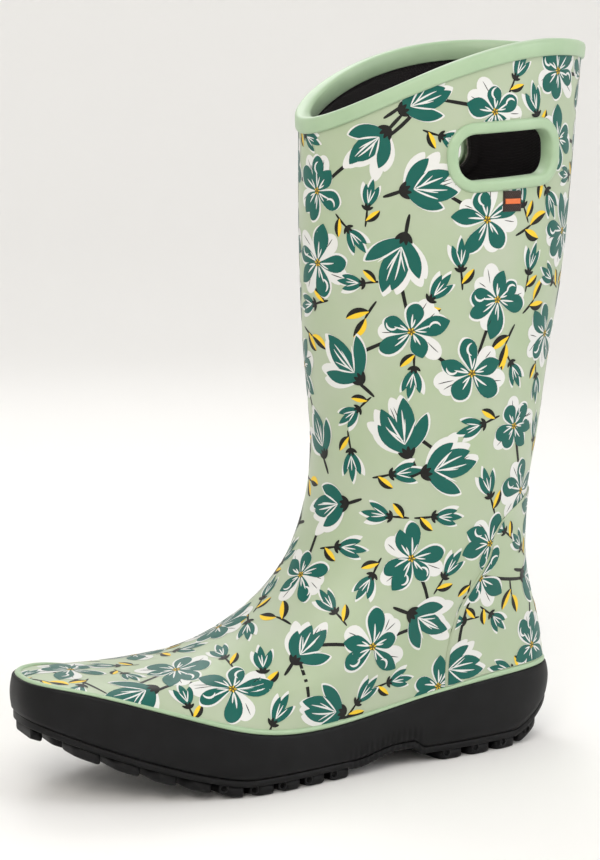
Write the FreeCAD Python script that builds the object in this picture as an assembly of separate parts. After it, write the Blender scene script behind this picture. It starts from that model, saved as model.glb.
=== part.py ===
import FreeCAD, Part
import math
import os

# Rubber rain boot for a left foot, in millimetres.  X runs from the toe (minus) to the heel (plus),
# the outer side of the foot faces -Y, and the boot stands on Z = 0.  Stations are measured from the
# middle of the foot; ORIGIN_X moves the finished pieces so that the origin lies under the middle of
# the whole boot.
ORIGIN_X = 7.05
TOE_X, HEEL_X = -141.0, 142.0

# The boot's outer form is a stack of closed rings, from the feather line up to the rim.
# level, front x, front z, back x, back z, side z, free of the sole line, oval, half width,
# squareness of the corners
RINGS = [
    (0.00, -141.0, 57.0, 142.0, 39.0, 41.0, 0.0, 0.00, 38.0, 2.50),
    (0.05, -128.0, 58.0, 140.5, 47.0, 39.0, 0.5, 0.10, 38.0, 2.45),
    (0.11, -100.0, 56.0, 138.3, 57.0, 49.0, 1.0, 0.25, 38.0, 2.40),
    (0.17, -70.0, 56.5, 135.0, 69.0, 60.0, 1.0, 0.45, 39.0, 2.35),
    (0.23, -38.0, 66.5, 131.0, 81.0, 74.0, 1.0, 0.65, 40.0, 2.30),
    (0.29, -10.0, 86.0, 127.5, 96.0, 91.0, 1.0, 0.85, 41.5, 2.25),
    (0.35, 5.5, 108.5, 126.3, 112.0, 110.0, 1.0, 1.00, 43.0, 2.20),
    (0.42, 13.5, 134.0, 127.5, 133.0, 133.0, 1.0, 1.00, 45.0, 2.15),
    (0.49, 15.5, 157.0, 132.0, 158.0, 157.0, 1.0, 1.00, 47.0, 2.10),
    (0.60, 12.5, 193.0, 138.0, 197.0, 195.0, 1.0, 1.00, 49.5, 2.05),
    (0.74, 9.5, 237.0, 146.5, 246.0, 243.0, 1.0, 1.00, 52.0, 2.00),
    (0.88, 8.7, 279.0, 151.5, 303.0, 297.0, 1.0, 1.00, 53.5, 2.00),
    (1.00, 8.7, 316.5, 155.8, 351.5, 349.0, 1.0, 1.00, 54.0, 2.00),
    (1.06, 8.7, 336.5, 157.6, 371.5, 369.0, 1.0, 1.00, 54.3, 2.00),
]
# Top edge of the black sidewall: share of the foot's length from the toe, height.
BAND = [(0.0, 57.0), (0.07, 54.0), (0.155, 47.5), (0.245, 39.5), (0.34, 31.5), (0.42, 28.0),
        (0.50, 27.5), (0.57, 29.0), (0.645, 32.0), (0.715, 35.0), (0.83, 38.0), (1.0, 39.0)]
# Half widths of the foot's plan: share of the length from the toe, outer side, inner side.
PLAN = [(0.0, 43.0, 50.0), (0.12, 47.5, 52.0), (0.25, 51.5, 51.5), (0.36, 52.0, 47.0),
        (0.50, 44.0, 37.0), (0.65, 37.0, 33.0), (0.80, 36.5, 36.0), (1.0, 36.0, 36.0)]

# Layers of the wall, as depths below the outer form.
RUBBER, PADDING, LINING, TAPE = 2.4, 1.0, 1.2, 0.7
LAYER_GAP = 0.1
WALL = RUBBER + PADDING + LINING + 2.0 * LAYER_GAP
LINING_SEAM = 0.36

# Rim, piping and handles.
RIM_OUT, RIM_HEIGHT, RIM_CAP, LEG_RISE = 1.8, 6.6, 1.6, 440.0
PIPING_OUT, PIPING_HEIGHT, PIPING_GAP = 1.3, 3.3, 0.5
SLOT_X, SLOT_Z, SLOT_LENGTH, SLOT_HEIGHT, SLOT_RADIUS, SLOT_TILT = 91.0, 300.5, 55.0, 22.0, 9.0, 3.5
FRAME_WIDTH, FRAME_OUT, FRAME_LIP = 5.6, 1.8, 1.5
TAB_X, TAB_TOP, TAB_WIDTH, TAB_HEIGHT, TAB_OUT = 93.0, 283.6, 11.0, 10.0, 0.9
OVERLAY_OUT = 0.9

# Sole.
LUG, SLAB, BULGE = 5.0, 4.0, 2.4
SOLE_GAP = 0.6
TOE_SPRING, SPRING_START, SPRING_POWER = 31.0, -45.0, 1.3
BALL_END, HEEL_BREAST, BEVEL_START, BEVEL_RISE = 12.0, 58.0, 114.0, 16.0
WAIST_START, WAIST_FULL, WAIST_END, ARCH_RISE, WAIST_LIFT = 15.0, 42.0, 50.0, 5.0, 4.0
FLOOR, HEEL_LIFT = 15.0, 12.0
BOARD, BOARD_INSET = 2.5, 7.2

# Footbed that lifts out, and the line across the toes that it tips about.
FOOTBED_TOE, FOOTBED_HEEL, FOOTBED_SIDE = -122.0, 121.0, 8.2
FOAM, COVER = 4.0, 1.0

AROUND, FAR = 48, 110.0


def spline(points):
    """Natural cubic through (x, y) points; straight on past both ends."""
    xs, ys = [p[0] for p in points], [p[1] for p in points]
    n = len(xs)
    h = [xs[i + 1] - xs[i] for i in range(n - 1)]
    slope = [(ys[i + 1] - ys[i]) / h[i] for i in range(n - 1)]
    upper, right = [0.0] * n, [0.0] * n
    for i in range(1, n - 1):
        pivot = 2.0 * (h[i - 1] + h[i]) - h[i - 1] * upper[i - 1]
        upper[i] = h[i] / pivot
        right[i] = (6.0 * (slope[i] - slope[i - 1]) - h[i - 1] * right[i - 1]) / pivot
    bend = [0.0] * n
    for i in range(n - 2, 0, -1):
        bend[i] = right[i] - upper[i] * bend[i + 1]

    def value(x):
        i = 0
        while i < n - 2 and x > xs[i + 1]:
            i += 1
        a, b = xs[i + 1] - x, x - xs[i]
        if x < xs[0]:
            return ys[0] + (x - xs[0]) * (slope[0] - h[0] * bend[1] / 6.0)
        if x > xs[-1]:
            return ys[-1] + (x - xs[-1]) * (slope[-1] + h[-1] * bend[-2] / 6.0)
        return ((bend[i] * a ** 3 + bend[i + 1] * b ** 3) / (6.0 * h[i])
                + (ys[i] / h[i] - bend[i] * h[i] / 6.0) * a
                + (ys[i + 1] / h[i] - bend[i + 1] * h[i] / 6.0) * b)
    return value


band_at = spline(BAND)
outer_half = spline([(s, a) for s, a, b in PLAN])
inner_half = spline([(s, b) for s, a, b in PLAN])
ring_values = [spline([(ring[0], ring[k]) for ring in RINGS]) for k in range(1, 10)]


def band_line(x):
    """Height of the black sidewall's top edge at station x."""
    return band_at((x - TOE_X) / (HEEL_X - TOE_X))


def toe_spring(x):
    """Rise of the sole towards the toe at station x."""
    if x >= SPRING_START:
        return 0.0
    return TOE_SPRING * ((SPRING_START - x) / (SPRING_START - TOE_X + 1.0)) ** SPRING_POWER


def tread_line(x):
    """Height of the tread's ground face: toe spring in front, a bevel behind the heel."""
    if x > BEVEL_START:
        return BEVEL_RISE * ((x - BEVEL_START) / (HEEL_X - BEVEL_START)) ** 1.4
    return toe_spring(x)


def smooth_step(x, start, end):
    """0 before start, 1 after end, and an even S between them."""
    t = min(1.0, max(0.0, (x - start) / (end - start)))
    return t * t * (3.0 - 2.0 * t)


def floor_line(x):
    """Height of the insole board's top at station x."""
    return toe_spring(x) + FLOOR + HEEL_LIFT * smooth_step(x, -20.0, 75.0)


def waist(x):
    """1 under the arch of the foot, 0 at the ball and at the heel."""
    return smooth_step(x, WAIST_START, WAIST_FULL) - smooth_step(x, WAIST_END, HEEL_BREAST)


def slab_top(x):
    """Height of the outsole's top at station x."""
    return tread_line(x) + LUG + SLAB + WAIST_LIFT * waist(x)


def corner_factor(angle, squareness):
    """Radius of a superellipse with unit half axes."""
    total = abs(math.cos(angle)) ** squareness + abs(math.sin(angle)) ** squareness
    return total ** (-1.0 / squareness)


def form_point(angle, level):
    """Point of the outer form; angle 0 is the back of the heel, 90 degrees the outer side.

    Below level 0, behind the sidewall, the form drops straight down.
    """
    front_x, front_z, back_x, back_z, side_z, free, oval, half, square = [
        value(max(level, 0.0)) for value in ring_values]
    free, oval = min(1.0, max(0.0, free)), min(1.0, max(0.0, oval))
    rho = corner_factor(angle, square)
    s = (1.0 + math.cos(angle) * rho) / 2.0
    foot_half = outer_half(s) if math.sin(angle) > 0 else inner_half(s)
    width = foot_half * (1.0 - oval) + half * oval
    arc = front_z * (1 - s) * (1 - 2 * s) + 4 * side_z * s * (1 - s) + back_z * s * (2 * s - 1)
    z = (1.0 - free) * band_at(s) + free * arc + SKIRT_DROP * min(level, 0.0)
    return FreeCAD.Vector(front_x + (back_x - front_x) * s, -width * math.sin(angle) * rho, z)


def form_normal(angle, level):
    """Outward unit normal of the outer form, from small steps around and up."""
    step = 1e-3
    around = form_point(angle + step, level) - form_point(angle - step, level)
    up = form_point(angle, level + step) - form_point(angle, level - step)
    normal = up.cross(around)
    return normal.normalize()


def ring_wire(points):
    """Closed smooth wire guided by the points of one ring."""
    count = len(points)
    curve = Part.BSplineCurve()
    curve.buildFromPolesMultsKnots(points, [1] * (count + 1), [k / count for k in range(count + 1)],
                                   True, 3)
    return Part.Wire(curve.toShape())


SKIRT_DROP = 260.0
LEVELS = [0.0, 0.025, 0.05, 0.08, 0.11, 0.14, 0.17, 0.20, 0.23, 0.26, 0.29, 0.32, 0.35, 0.385, 0.42,
          0.455, 0.49, 0.545, 0.60, 0.67, 0.74, 0.81, 0.88, 0.94, 1.0]
WELT = -0.05


def layer_point(angle, depth, level):
    """Point of the form moved inwards by depth; at WELT it is lowered to the insole board."""
    point = form_point(angle, level) - form_normal(angle, level) * depth
    if level == WELT:
        point.z = floor_line(point.x) - BOARD
    return point


def band_surface(rings):
    """Smooth surface guided by closed rings of points; its first and last rings are its edges."""
    rows = len(rings)
    degree = min(3, rows - 1)
    poles = [[ring[k] for ring in rings] for k in range(AROUND)]
    spans = rows - degree
    surface = Part.BSplineSurface()
    surface.buildFromPolesMultsKnots(
        poles, [1] * (AROUND + 1), [degree + 1] + [1] * (spans - 1) + [degree + 1],
        [k / AROUND for k in range(AROUND + 1)], [k / spans for k in range(spans + 1)],
        True, False, 3, degree)
    return surface


def closed_solid(faces):
    """Solid inside a closed set of faces."""
    shell = Part.Shell(faces)
    shell.sewShape()
    solid = Part.Solid(Part.Shell(shell.Faces))
    if solid.Volume < 0:
        solid.reverse()
    return solid


def ring_solid(outer_rings, inner_rings):
    """Ring-shaped solid between two surfaces, closed by ruled edges at the bottom and the top."""
    outer, inner = band_surface(outer_rings), band_surface(inner_rings)
    faces = [outer.toShape(), inner.toShape()]
    for end in (0, 1):
        edges = [surface.vIso(surface.bounds()[2 + end]).toShape() for surface in (outer, inner)]
        faces.append(Part.makeRuledSurface(*edges))
    return closed_solid(faces)


def above_band(distance):
    """Rule that gives, for each angle, the level this far up the form from the sidewall's top edge."""
    def level(angle):
        start, low, high = form_point(angle, 0.0), 0.0, 0.12
        for halving in range(14):
            middle = (low + high) / 2.0
            if (form_point(angle, middle) - start).Length < distance:
                low = middle
            else:
                high = middle
        return low
    return level


def rings_at(stops):
    """Rings of points at (depth, level) stops; a level may be a rule that depends on the angle."""
    angles = [2.0 * math.pi * k / AROUND for k in range(AROUND)]
    return [[layer_point(angle, depth, level(angle) if callable(level) else level)
             for angle in angles] for depth, level in stops]


def wall(outside, inside, low=WELT, high=1.0):
    """Layer of the boot's wall between two depths and two levels."""
    levels = [low] + [level for level in LEVELS if low + 0.004 < level < high - 0.004] + [high]
    outer, inner = [(outside, level) for level in levels], [(inside, level) for level in levels]
    return ring_solid(rings_at(outer), rings_at(inner))


def rolled_ring(corners):
    """Ring-shaped solid whose section is a polygon of (depth, level) corners."""
    edges = [ring_wire(ring).Edges[0] for ring in rings_at(corners)]
    return closed_solid([Part.makeRuledSurface(edges[k - 1], edges[k]) for k in range(len(edges))])


def side_block(lower, upper, start, end, near=-FAR, far=FAR):
    """Block across the boot between two lines of height along X, in short straight steps."""
    count = 36
    stations = [start + (end - start) * k / count for k in range(count + 1)]
    points = [FreeCAD.Vector(x, near, lower(x)) for x in stations]
    points += [FreeCAD.Vector(x, near, upper(x)) for x in reversed(stations)]
    face = Part.Face(Part.makePolygon(points + points[:1]))
    return face.extrude(FreeCAD.Vector(0, far - near, 0))


def raised(line, rise):
    """The same line of height, moved up."""
    return lambda x: line(x) + rise


def sole_outline(grow, count=AROUND):
    """Plan of the foot grown by a margin, as ring points at z = 0."""
    points = []
    for k in range(count):
        angle = 2.0 * math.pi * k / count
        rho = corner_factor(angle, 2.5)
        s = (1.0 + math.cos(angle) * rho) / 2.0
        half = (outer_half(s) if math.sin(angle) > 0 else inner_half(s)) + grow
        x = TOE_X - grow + (HEEL_X - TOE_X + 2.0 * grow) * s
        points.append(FreeCAD.Vector(x, -half * math.sin(angle) * rho, 0.0))
    return points


def sole_prism(grow):
    """Upright prism on the foot's plan, with short straight sides."""
    points = sole_outline(grow, 2 * AROUND)
    return Part.Face(Part.makePolygon(points + points[:1])).extrude(FreeCAD.Vector(0, 0, 120.0))


def slot_face(grow, y):
    """Rounded slot of the handle, grown by a margin, in the plane at y."""
    half_x, half_z = SLOT_LENGTH / 2.0 + grow, SLOT_HEIGHT / 2.0 + grow
    radius = SLOT_RADIUS + grow
    corners = [(1, 1, 0), (-1, 1, 90), (-1, -1, 180), (1, -1, 270)]
    edges = []
    for side, up, start in corners:
        centre = FreeCAD.Vector(side * (half_x - radius), 0, up * (half_z - radius))
        arc = []
        for turn in (start, start + 45, start + 90):
            direction = math.radians(turn)
            arc.append(centre + FreeCAD.Vector(radius * math.cos(direction), 0,
                                               radius * math.sin(direction)))
        edges.append(Part.Arc(*arc).toShape())
    for k in range(4):
        first, second = edges[k].Vertexes[-1].Point, edges[(k + 1) % 4].Vertexes[0].Point
        edges.append(Part.makeLine(first, second))
    face = Part.Face(Part.Wire(Part.__sortEdges__(edges)))
    face.rotate(FreeCAD.Vector(0, 0, 0), FreeCAD.Vector(0, -1, 0), SLOT_TILT)
    face.translate(FreeCAD.Vector(SLOT_X, y, SLOT_Z))
    return face


def slot_prism(grow, side):
    """Slot cutter through one side wall; side -1 is the outer side, +1 the inner side."""
    return slot_face(grow, side * 12.0).extrude(FreeCAD.Vector(0, side * 80.0, 0))


def heel_region(grow):
    """Block behind the slanted front edge of the heel overlay."""
    edge = [(69.0, 20.0), (70.0, 63.5), (76.0, 81.0), (90.0, 104.0), (107.0, 126.5), (160.0, 142.0)]
    curve = Part.BSplineCurve()
    curve.interpolate([FreeCAD.Vector(x - grow, -FAR, z + grow) for x, z in edge])
    first, last = curve.StartPoint, curve.EndPoint
    corner = FreeCAD.Vector(last.x, -FAR, first.z)
    edges = [curve.toShape(), Part.makeLine(first, corner), Part.makeLine(corner, last)]
    face = Part.Face(Part.Wire(Part.__sortEdges__(edges)))
    return face.extrude(FreeCAD.Vector(0, 2 * FAR, 0))


def toe_region(grow):
    """Block in front of the toe puff's edge."""
    return Part.makeBox(70.0, 2 * FAR, 90.0, FreeCAD.Vector(-155.0 + grow, -FAR, 20.0))


def ankle_disc(grow, side):
    """Cylinder across one side of the ankle, over the ankle bone."""
    centre = FreeCAD.Vector(52.0, side * 10.0, 104.0)
    return Part.makeCylinder(15.0 + grow, 80.0, centre, FreeCAD.Vector(0, side, 0))


def outer_ankle(grow):
    return ankle_disc(grow, -1)


def inner_ankle(grow):
    return ankle_disc(grow, 1)


def piping_bead():
    """Bead along the sidewall's top edge; each of its sections is a straight-sided block."""
    low, middle, high = [above_band(d) for d in (PIPING_GAP, PIPING_HEIGHT / 2.0, PIPING_HEIGHT)]
    edges = []
    for level, out in ((low, LAYER_GAP), (low, PIPING_OUT), (high, PIPING_OUT), (high, LAYER_GAP)):
        ring = []
        for k in range(AROUND):
            angle = 2.0 * math.pi * k / AROUND
            ring.append(form_point(angle, level(angle)) + form_normal(angle, middle(angle)) * out)
        edges.append(ring_wire(ring).Edges[0])
    return closed_solid([Part.makeRuledSurface(edges[k - 1], edges[k]) for k in range(len(edges))])


def upper_pieces():
    """Rubber shell, what is moulded onto its outside, and the stiffeners behind it."""
    shell = wall(0.0, RUBBER)
    for side in (-1, 1):
        shell = shell.cut(slot_prism(FRAME_LIP + LAYER_GAP, side))
    above_piping = [above_band(PIPING_HEIGHT + PIPING_GAP)] + [u for u in LEVELS if 0.06 < u < 0.47]
    overlay = ring_solid(rings_at([(-OVERLAY_OUT, level) for level in above_piping]),
                         rings_at([(-LAYER_GAP, level) for level in above_piping]))
    overlay = overlay.common(heel_region(0.0))
    padding = wall(RUBBER + LAYER_GAP, RUBBER + LAYER_GAP + PADDING)
    stiff = wall(RUBBER + LAYER_GAP + 0.05, RUBBER + LAYER_GAP + PADDING - 0.25, 0.03, 0.47)
    pieces = {"upper_shell": shell, "heel_overlay": overlay, "edge_piping": piping_bead()}
    regions = {"heel_stiffener": heel_region, "toe_puff": toe_region,
               "ankle_patch_outer": outer_ankle, "ankle_patch_inner": inner_ankle}
    for name, region in regions.items():
        pieces[name] = stiff.common(region(-0.25))
        padding = padding.cut(region(0.0))
    for side in (-1, 1):
        padding = padding.cut(slot_prism(FRAME_LIP + LAYER_GAP, side))
    pieces["insulation"] = padding
    return pieces


def rim_binding():
    """U-shaped binding over the cut top edge of shell, insulation and lining."""
    inside = WALL + LAYER_GAP
    low, cut, cap, inner_low = 1.0 - RIM_HEIGHT / LEG_RISE, 1.0003, 1.0 + RIM_CAP / LEG_RISE, 0.975
    return rolled_ring([(-LAYER_GAP, low), (-RIM_OUT * 0.75, low), (-RIM_OUT, low + 0.003),
                        (-RIM_OUT, cap - 0.004), (-RIM_OUT * 0.4, cap), (inside + 0.4, cap),
                        (inside + 1.2, cap - 0.004), (inside + 1.2, inner_low), (inside, inner_low),
                        (inside, cut), (-LAYER_GAP, cut)])


def handle_pieces():
    """Frame moulded round each pull slot, with a lip through the wall, and its backing inside."""
    pieces = {}
    through = WALL + LAYER_GAP
    lip_wall = wall(-FRAME_OUT, through + 1.2, 0.80, 0.975)
    flange_wall = wall(-FRAME_OUT, -LAYER_GAP, 0.80, 0.975)
    backing_wall = wall(through, through + 1.2, 0.80, 0.970)
    for name, side in (("outer", -1), ("inner", 1)):
        hole, lip, border = [slot_prism(grow, side) for grow in (0.0, FRAME_LIP, FRAME_WIDTH)]
        flange = flange_wall.common(border.cut(hole))
        sleeve = lip_wall.common(lip.cut(hole))
        pieces["handle_frame_" + name] = flange.fuse(sleeve).removeSplitter()
        outside_lip = border.cut(slot_prism(FRAME_LIP + LAYER_GAP, side))
        pieces["handle_backing_" + name] = backing_wall.common(outside_lip)
    return pieces


def tab_pieces():
    """Woven side tab under the outer slot, with one plain stripe across it."""
    box = Part.makeBox(TAB_WIDTH, 60.0, TAB_HEIGHT,
                       FreeCAD.Vector(TAB_X - TAB_WIDTH / 2.0, -70.0, TAB_TOP - TAB_HEIGHT))
    stripe_height = 2.6
    stripe = Part.makeBox(TAB_WIDTH - 1.6, 60.0, stripe_height,
                          FreeCAD.Vector(TAB_X - TAB_WIDTH / 2.0 + 0.8, -70.0,
                                         TAB_TOP - (TAB_HEIGHT + stripe_height) / 2.0))
    return {"side_tab": wall(-TAB_OUT, -LAYER_GAP, 0.76, 0.90).common(box),
            "tab_stripe": wall(-TAB_OUT - 0.5, -TAB_OUT - 0.05, 0.76, 0.90).common(stripe)}


def lining_pieces():
    """Textile lining in a leg part and a foot part, and the tapes inside the leg."""
    outside = WALL - LINING
    leg = wall(outside, WALL, LINING_SEAM + 0.001, 1.0)
    for side in (-1, 1):
        leg = leg.cut(slot_prism(FRAME_LIP + LAYER_GAP, side))
    foot = wall(outside, WALL, WELT, LINING_SEAM)
    inside = WALL + LAYER_GAP
    rim_tape = wall(inside, inside + TAPE, 0.945, 0.972)
    stay = wall(inside, inside + TAPE, 0.42, 0.94)
    stay = stay.common(Part.makeBox(60.0, 18.0, 400.0, FreeCAD.Vector(105.0, -9.0, 0.0)))
    return {"leg_lining": leg, "foot_lining": foot, "rim_tape": rim_tape, "back_stay": stay}


def sole_rings(grow, low, high, rises):
    """Rings of points on the foot's plan between two lines of height, grown by a rule of height."""
    rings = []
    for k in range(rises + 1):
        share = k / rises
        ring = []
        for point in sole_outline(grow(share)):
            z = low(point.x) + (high(point.x) - low(point.x)) * share
            ring.append(FreeCAD.Vector(point.x, point.y, z))
        rings.append(ring)
    return rings


def sidewall_grow(share):
    """How far the sidewall stands out at a share of its height: a soft bulge."""
    return 0.7 + (BULGE - 0.7) * math.sin(math.pi * (0.15 + 0.78 * share))


def sole_wall():
    """Black sidewall: bulged outside, snug on the upper inside."""
    low = raised(slab_top, SOLE_GAP)
    outside = sole_rings(sidewall_grow, low, band_line, 8)
    inside = sole_rings(lambda share: 0.15, low, band_line, 1)
    return ring_solid(outside, inside)


def tread_block(x, y, length, width, turn):
    """One tread block with cut corners, standing square to the curved sole at station x."""
    cut = 0.28 * min(length, width)
    a, b = length / 2.0, width / 2.0
    outline = [(a - cut, -b), (a, -b + cut), (a, b - cut), (a - cut, b),
               (cut - a, b), (-a, b - cut), (-a, cut - b), (cut - a, -b)]
    points = [FreeCAD.Vector(px, py, 0.0) for px, py in outline]
    block = Part.Face(Part.makePolygon(points + points[:1])).extrude(FreeCAD.Vector(0, 0, LUG + 1.5))
    slope = math.degrees(math.atan2(tread_line(x + 1.0) - tread_line(x - 1.0), 2.0))
    block.rotate(FreeCAD.Vector(0, 0, 0), FreeCAD.Vector(0, 0, 1), turn)
    block.rotate(FreeCAD.Vector(0, 0, 0), FreeCAD.Vector(0, -1, 0), slope)
    block.translate(FreeCAD.Vector(x, y, tread_line(x)))
    return block


def tread(start, end, pitch):
    """Slab with three rows of blocks, between two stations."""
    plan = sole_prism(0.9)
    slab = side_block(raised(tread_line, LUG), raised(tread_line, LUG + SLAB), start, end).common(plan)
    pieces = []
    for k in range(int((end - start) / pitch)):
        x = start + pitch * (k + 0.5)
        for side in (-1, 0, 1):
            width = 24.0 if side else 22.0
            block = tread_block(x + 3.0 * abs(side), side * 33.0, pitch - 4.0, width, side * 14.0)
            pieces += [piece for piece in block.common(plan).Solids if piece.Volume > 20.0]
    return slab.multiFuse(pieces).removeSplitter()


def arch_line(x):
    """Underside of the waist, raised between the ball and the heel breast."""
    return LUG - 1.0 + ARCH_RISE * waist(x)


def arch_plate():
    """Waist of the outsole with fine ribs across its underside."""
    start, end, pitch, rib = BALL_END + 0.1, HEEL_BREAST - 0.1, 4.0, 1.6
    plate = side_block(arch_line, slab_top, start, end)
    ribs = []
    for k in range(int((end - start) / pitch)):
        x = start + pitch * (k + 0.5)
        ribs.append(Part.makeBox(rib, 2 * FAR, 40.0, FreeCAD.Vector(x - rib / 2.0, -FAR, -10.0)))
    rib_layer = side_block(raised(arch_line, -1.2), raised(arch_line, 0.5), start, end)
    ribbed = plate.fuse(rib_layer.common(Part.makeCompound(ribs)))
    return ribbed.common(sole_prism(0.4)).removeSplitter()


def sole_core():
    """Filler under the insole board, with the shank and the heel's light core let into it."""
    under = raised(floor_line, -BOARD - SOLE_GAP)
    lowest = raised(slab_top, SOLE_GAP)
    filler = sole_prism(-SOLE_GAP).common(side_block(lowest, under, -150.0, 138.0))
    spine_low, spine_high = raised(floor_line, -5.3), raised(floor_line, -3.7)
    shank = side_block(spine_low, spine_high, -32.0, 96.0, -9.0, 9.0)
    shank_room = side_block(raised(spine_low, -0.1), raised(spine_high, 0.1), -32.2, 96.2, -9.2, 9.2)
    core_height, core_x = 8.0, 100.0
    core = Part.makeCylinder(19.0, core_height, FreeCAD.Vector(core_x, 0, LUG + SLAB + 2.0))
    core_room = Part.makeCylinder(19.1, core_height + 0.2, FreeCAD.Vector(core_x, 0, LUG + SLAB + 1.9))
    board = sole_prism(-BOARD_INSET)
    board = board.common(side_block(raised(floor_line, 0.1 - BOARD), floor_line, -150.0, 150.0))
    return {"midsole_filler": filler.cut(shank_room).cut(core_room), "shank": shank,
            "heel_core": core, "insole_board": board}


def footbed_pieces():
    """Loose footbed: foam, fabric cover, heel pad and arch support."""
    plan = sole_prism(-FOOTBED_SIDE)
    low = raised(floor_line, 0.4)
    top = raised(floor_line, 0.4 + FOAM)
    foam = side_block(low, top, FOOTBED_TOE, FOOTBED_HEEL).common(plan)
    cover = side_block(raised(top, 0.05), raised(top, COVER), FOOTBED_TOE, FOOTBED_HEEL).common(plan)
    pad_x, pad_radius = 94.0, 17.0
    pad = Part.makeCylinder(pad_radius, 90.0, FreeCAD.Vector(pad_x, 0, 0))
    pad = pad.common(side_block(raised(top, COVER + 0.05), raised(top, COVER + 1.2), 60.0, 120.0))
    side_plan = sole_prism(-FOOTBED_SIDE - 1.0)
    support = side_block(raised(top, COVER + 0.05), raised(top, COVER + 4.0), 5.0, 66.0, 10.0, 60.0)
    rounding = Part.makeCylinder(38.0, 120.0, FreeCAD.Vector(36.0, 46.0, 0))
    return {"footbed_foam": foam, "footbed_cover": cover, "footbed_heel_pad": pad,
            "arch_support": support.common(side_plan).common(rounding)}


def write(name, shape):
    """Move one piece to the boot's frame and write it."""
    solids = [solid for solid in shape.Solids if solid.Volume > 1.0]
    shape = solids[0] if len(solids) == 1 else Part.makeCompound(solids)
    shape.translate(FreeCAD.Vector(-ORIGIN_X, 0, 0))
    shape.exportStep("parts/" + name + ".step")
    box = shape.BoundBox
    print("%-22s solids %d valid %s volume %.0f  x %.1f %.1f  y %.1f %.1f  z %.1f %.1f" % (
        name, len(solids), shape.isValid(), shape.Volume,
        box.XMin, box.XMax, box.YMin, box.YMax, box.ZMin, box.ZMax))
    return box


def main():
    os.makedirs("parts", exist_ok=True)
    pieces = upper_pieces()
    pieces["top_binding"] = rim_binding()
    pieces.update(handle_pieces())
    pieces.update(tab_pieces())
    pieces.update(lining_pieces())
    pieces["sidewall"] = sole_wall()
    pieces["outsole_forefoot"] = tread(-146.0, BALL_END, 15.2)
    pieces["outsole_heel"] = tread(HEEL_BREAST, 146.0, 17.6)
    pieces["arch_plate"] = arch_plate()
    pieces.update(sole_core())
    pieces.update(footbed_pieces())
    whole = FreeCAD.BoundBox()
    for name in sorted(pieces):
        whole.add(write(name, pieces[name]))
    print("boot x %.2f %.2f  y %.2f %.2f  z %.2f %.2f" % (
        whole.XMin, whole.XMax, whole.YMin, whole.YMax, whole.ZMin, whole.ZMax))


main()
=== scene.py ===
import math

import bmesh
import bpy
import numpy as np
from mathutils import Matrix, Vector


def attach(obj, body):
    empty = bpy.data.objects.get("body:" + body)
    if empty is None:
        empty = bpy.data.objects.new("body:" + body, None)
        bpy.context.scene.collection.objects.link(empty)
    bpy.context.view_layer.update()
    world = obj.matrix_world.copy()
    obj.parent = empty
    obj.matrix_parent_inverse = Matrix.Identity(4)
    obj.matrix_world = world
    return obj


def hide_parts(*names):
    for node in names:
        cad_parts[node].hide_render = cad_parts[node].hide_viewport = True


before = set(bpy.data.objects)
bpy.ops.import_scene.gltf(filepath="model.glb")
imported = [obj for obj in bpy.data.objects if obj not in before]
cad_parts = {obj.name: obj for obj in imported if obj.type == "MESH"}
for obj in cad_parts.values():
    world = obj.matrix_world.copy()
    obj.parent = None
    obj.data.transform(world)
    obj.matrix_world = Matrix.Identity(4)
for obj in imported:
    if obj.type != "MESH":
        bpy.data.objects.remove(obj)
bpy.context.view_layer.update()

mm = 0.001
print("frame loaded")

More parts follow.
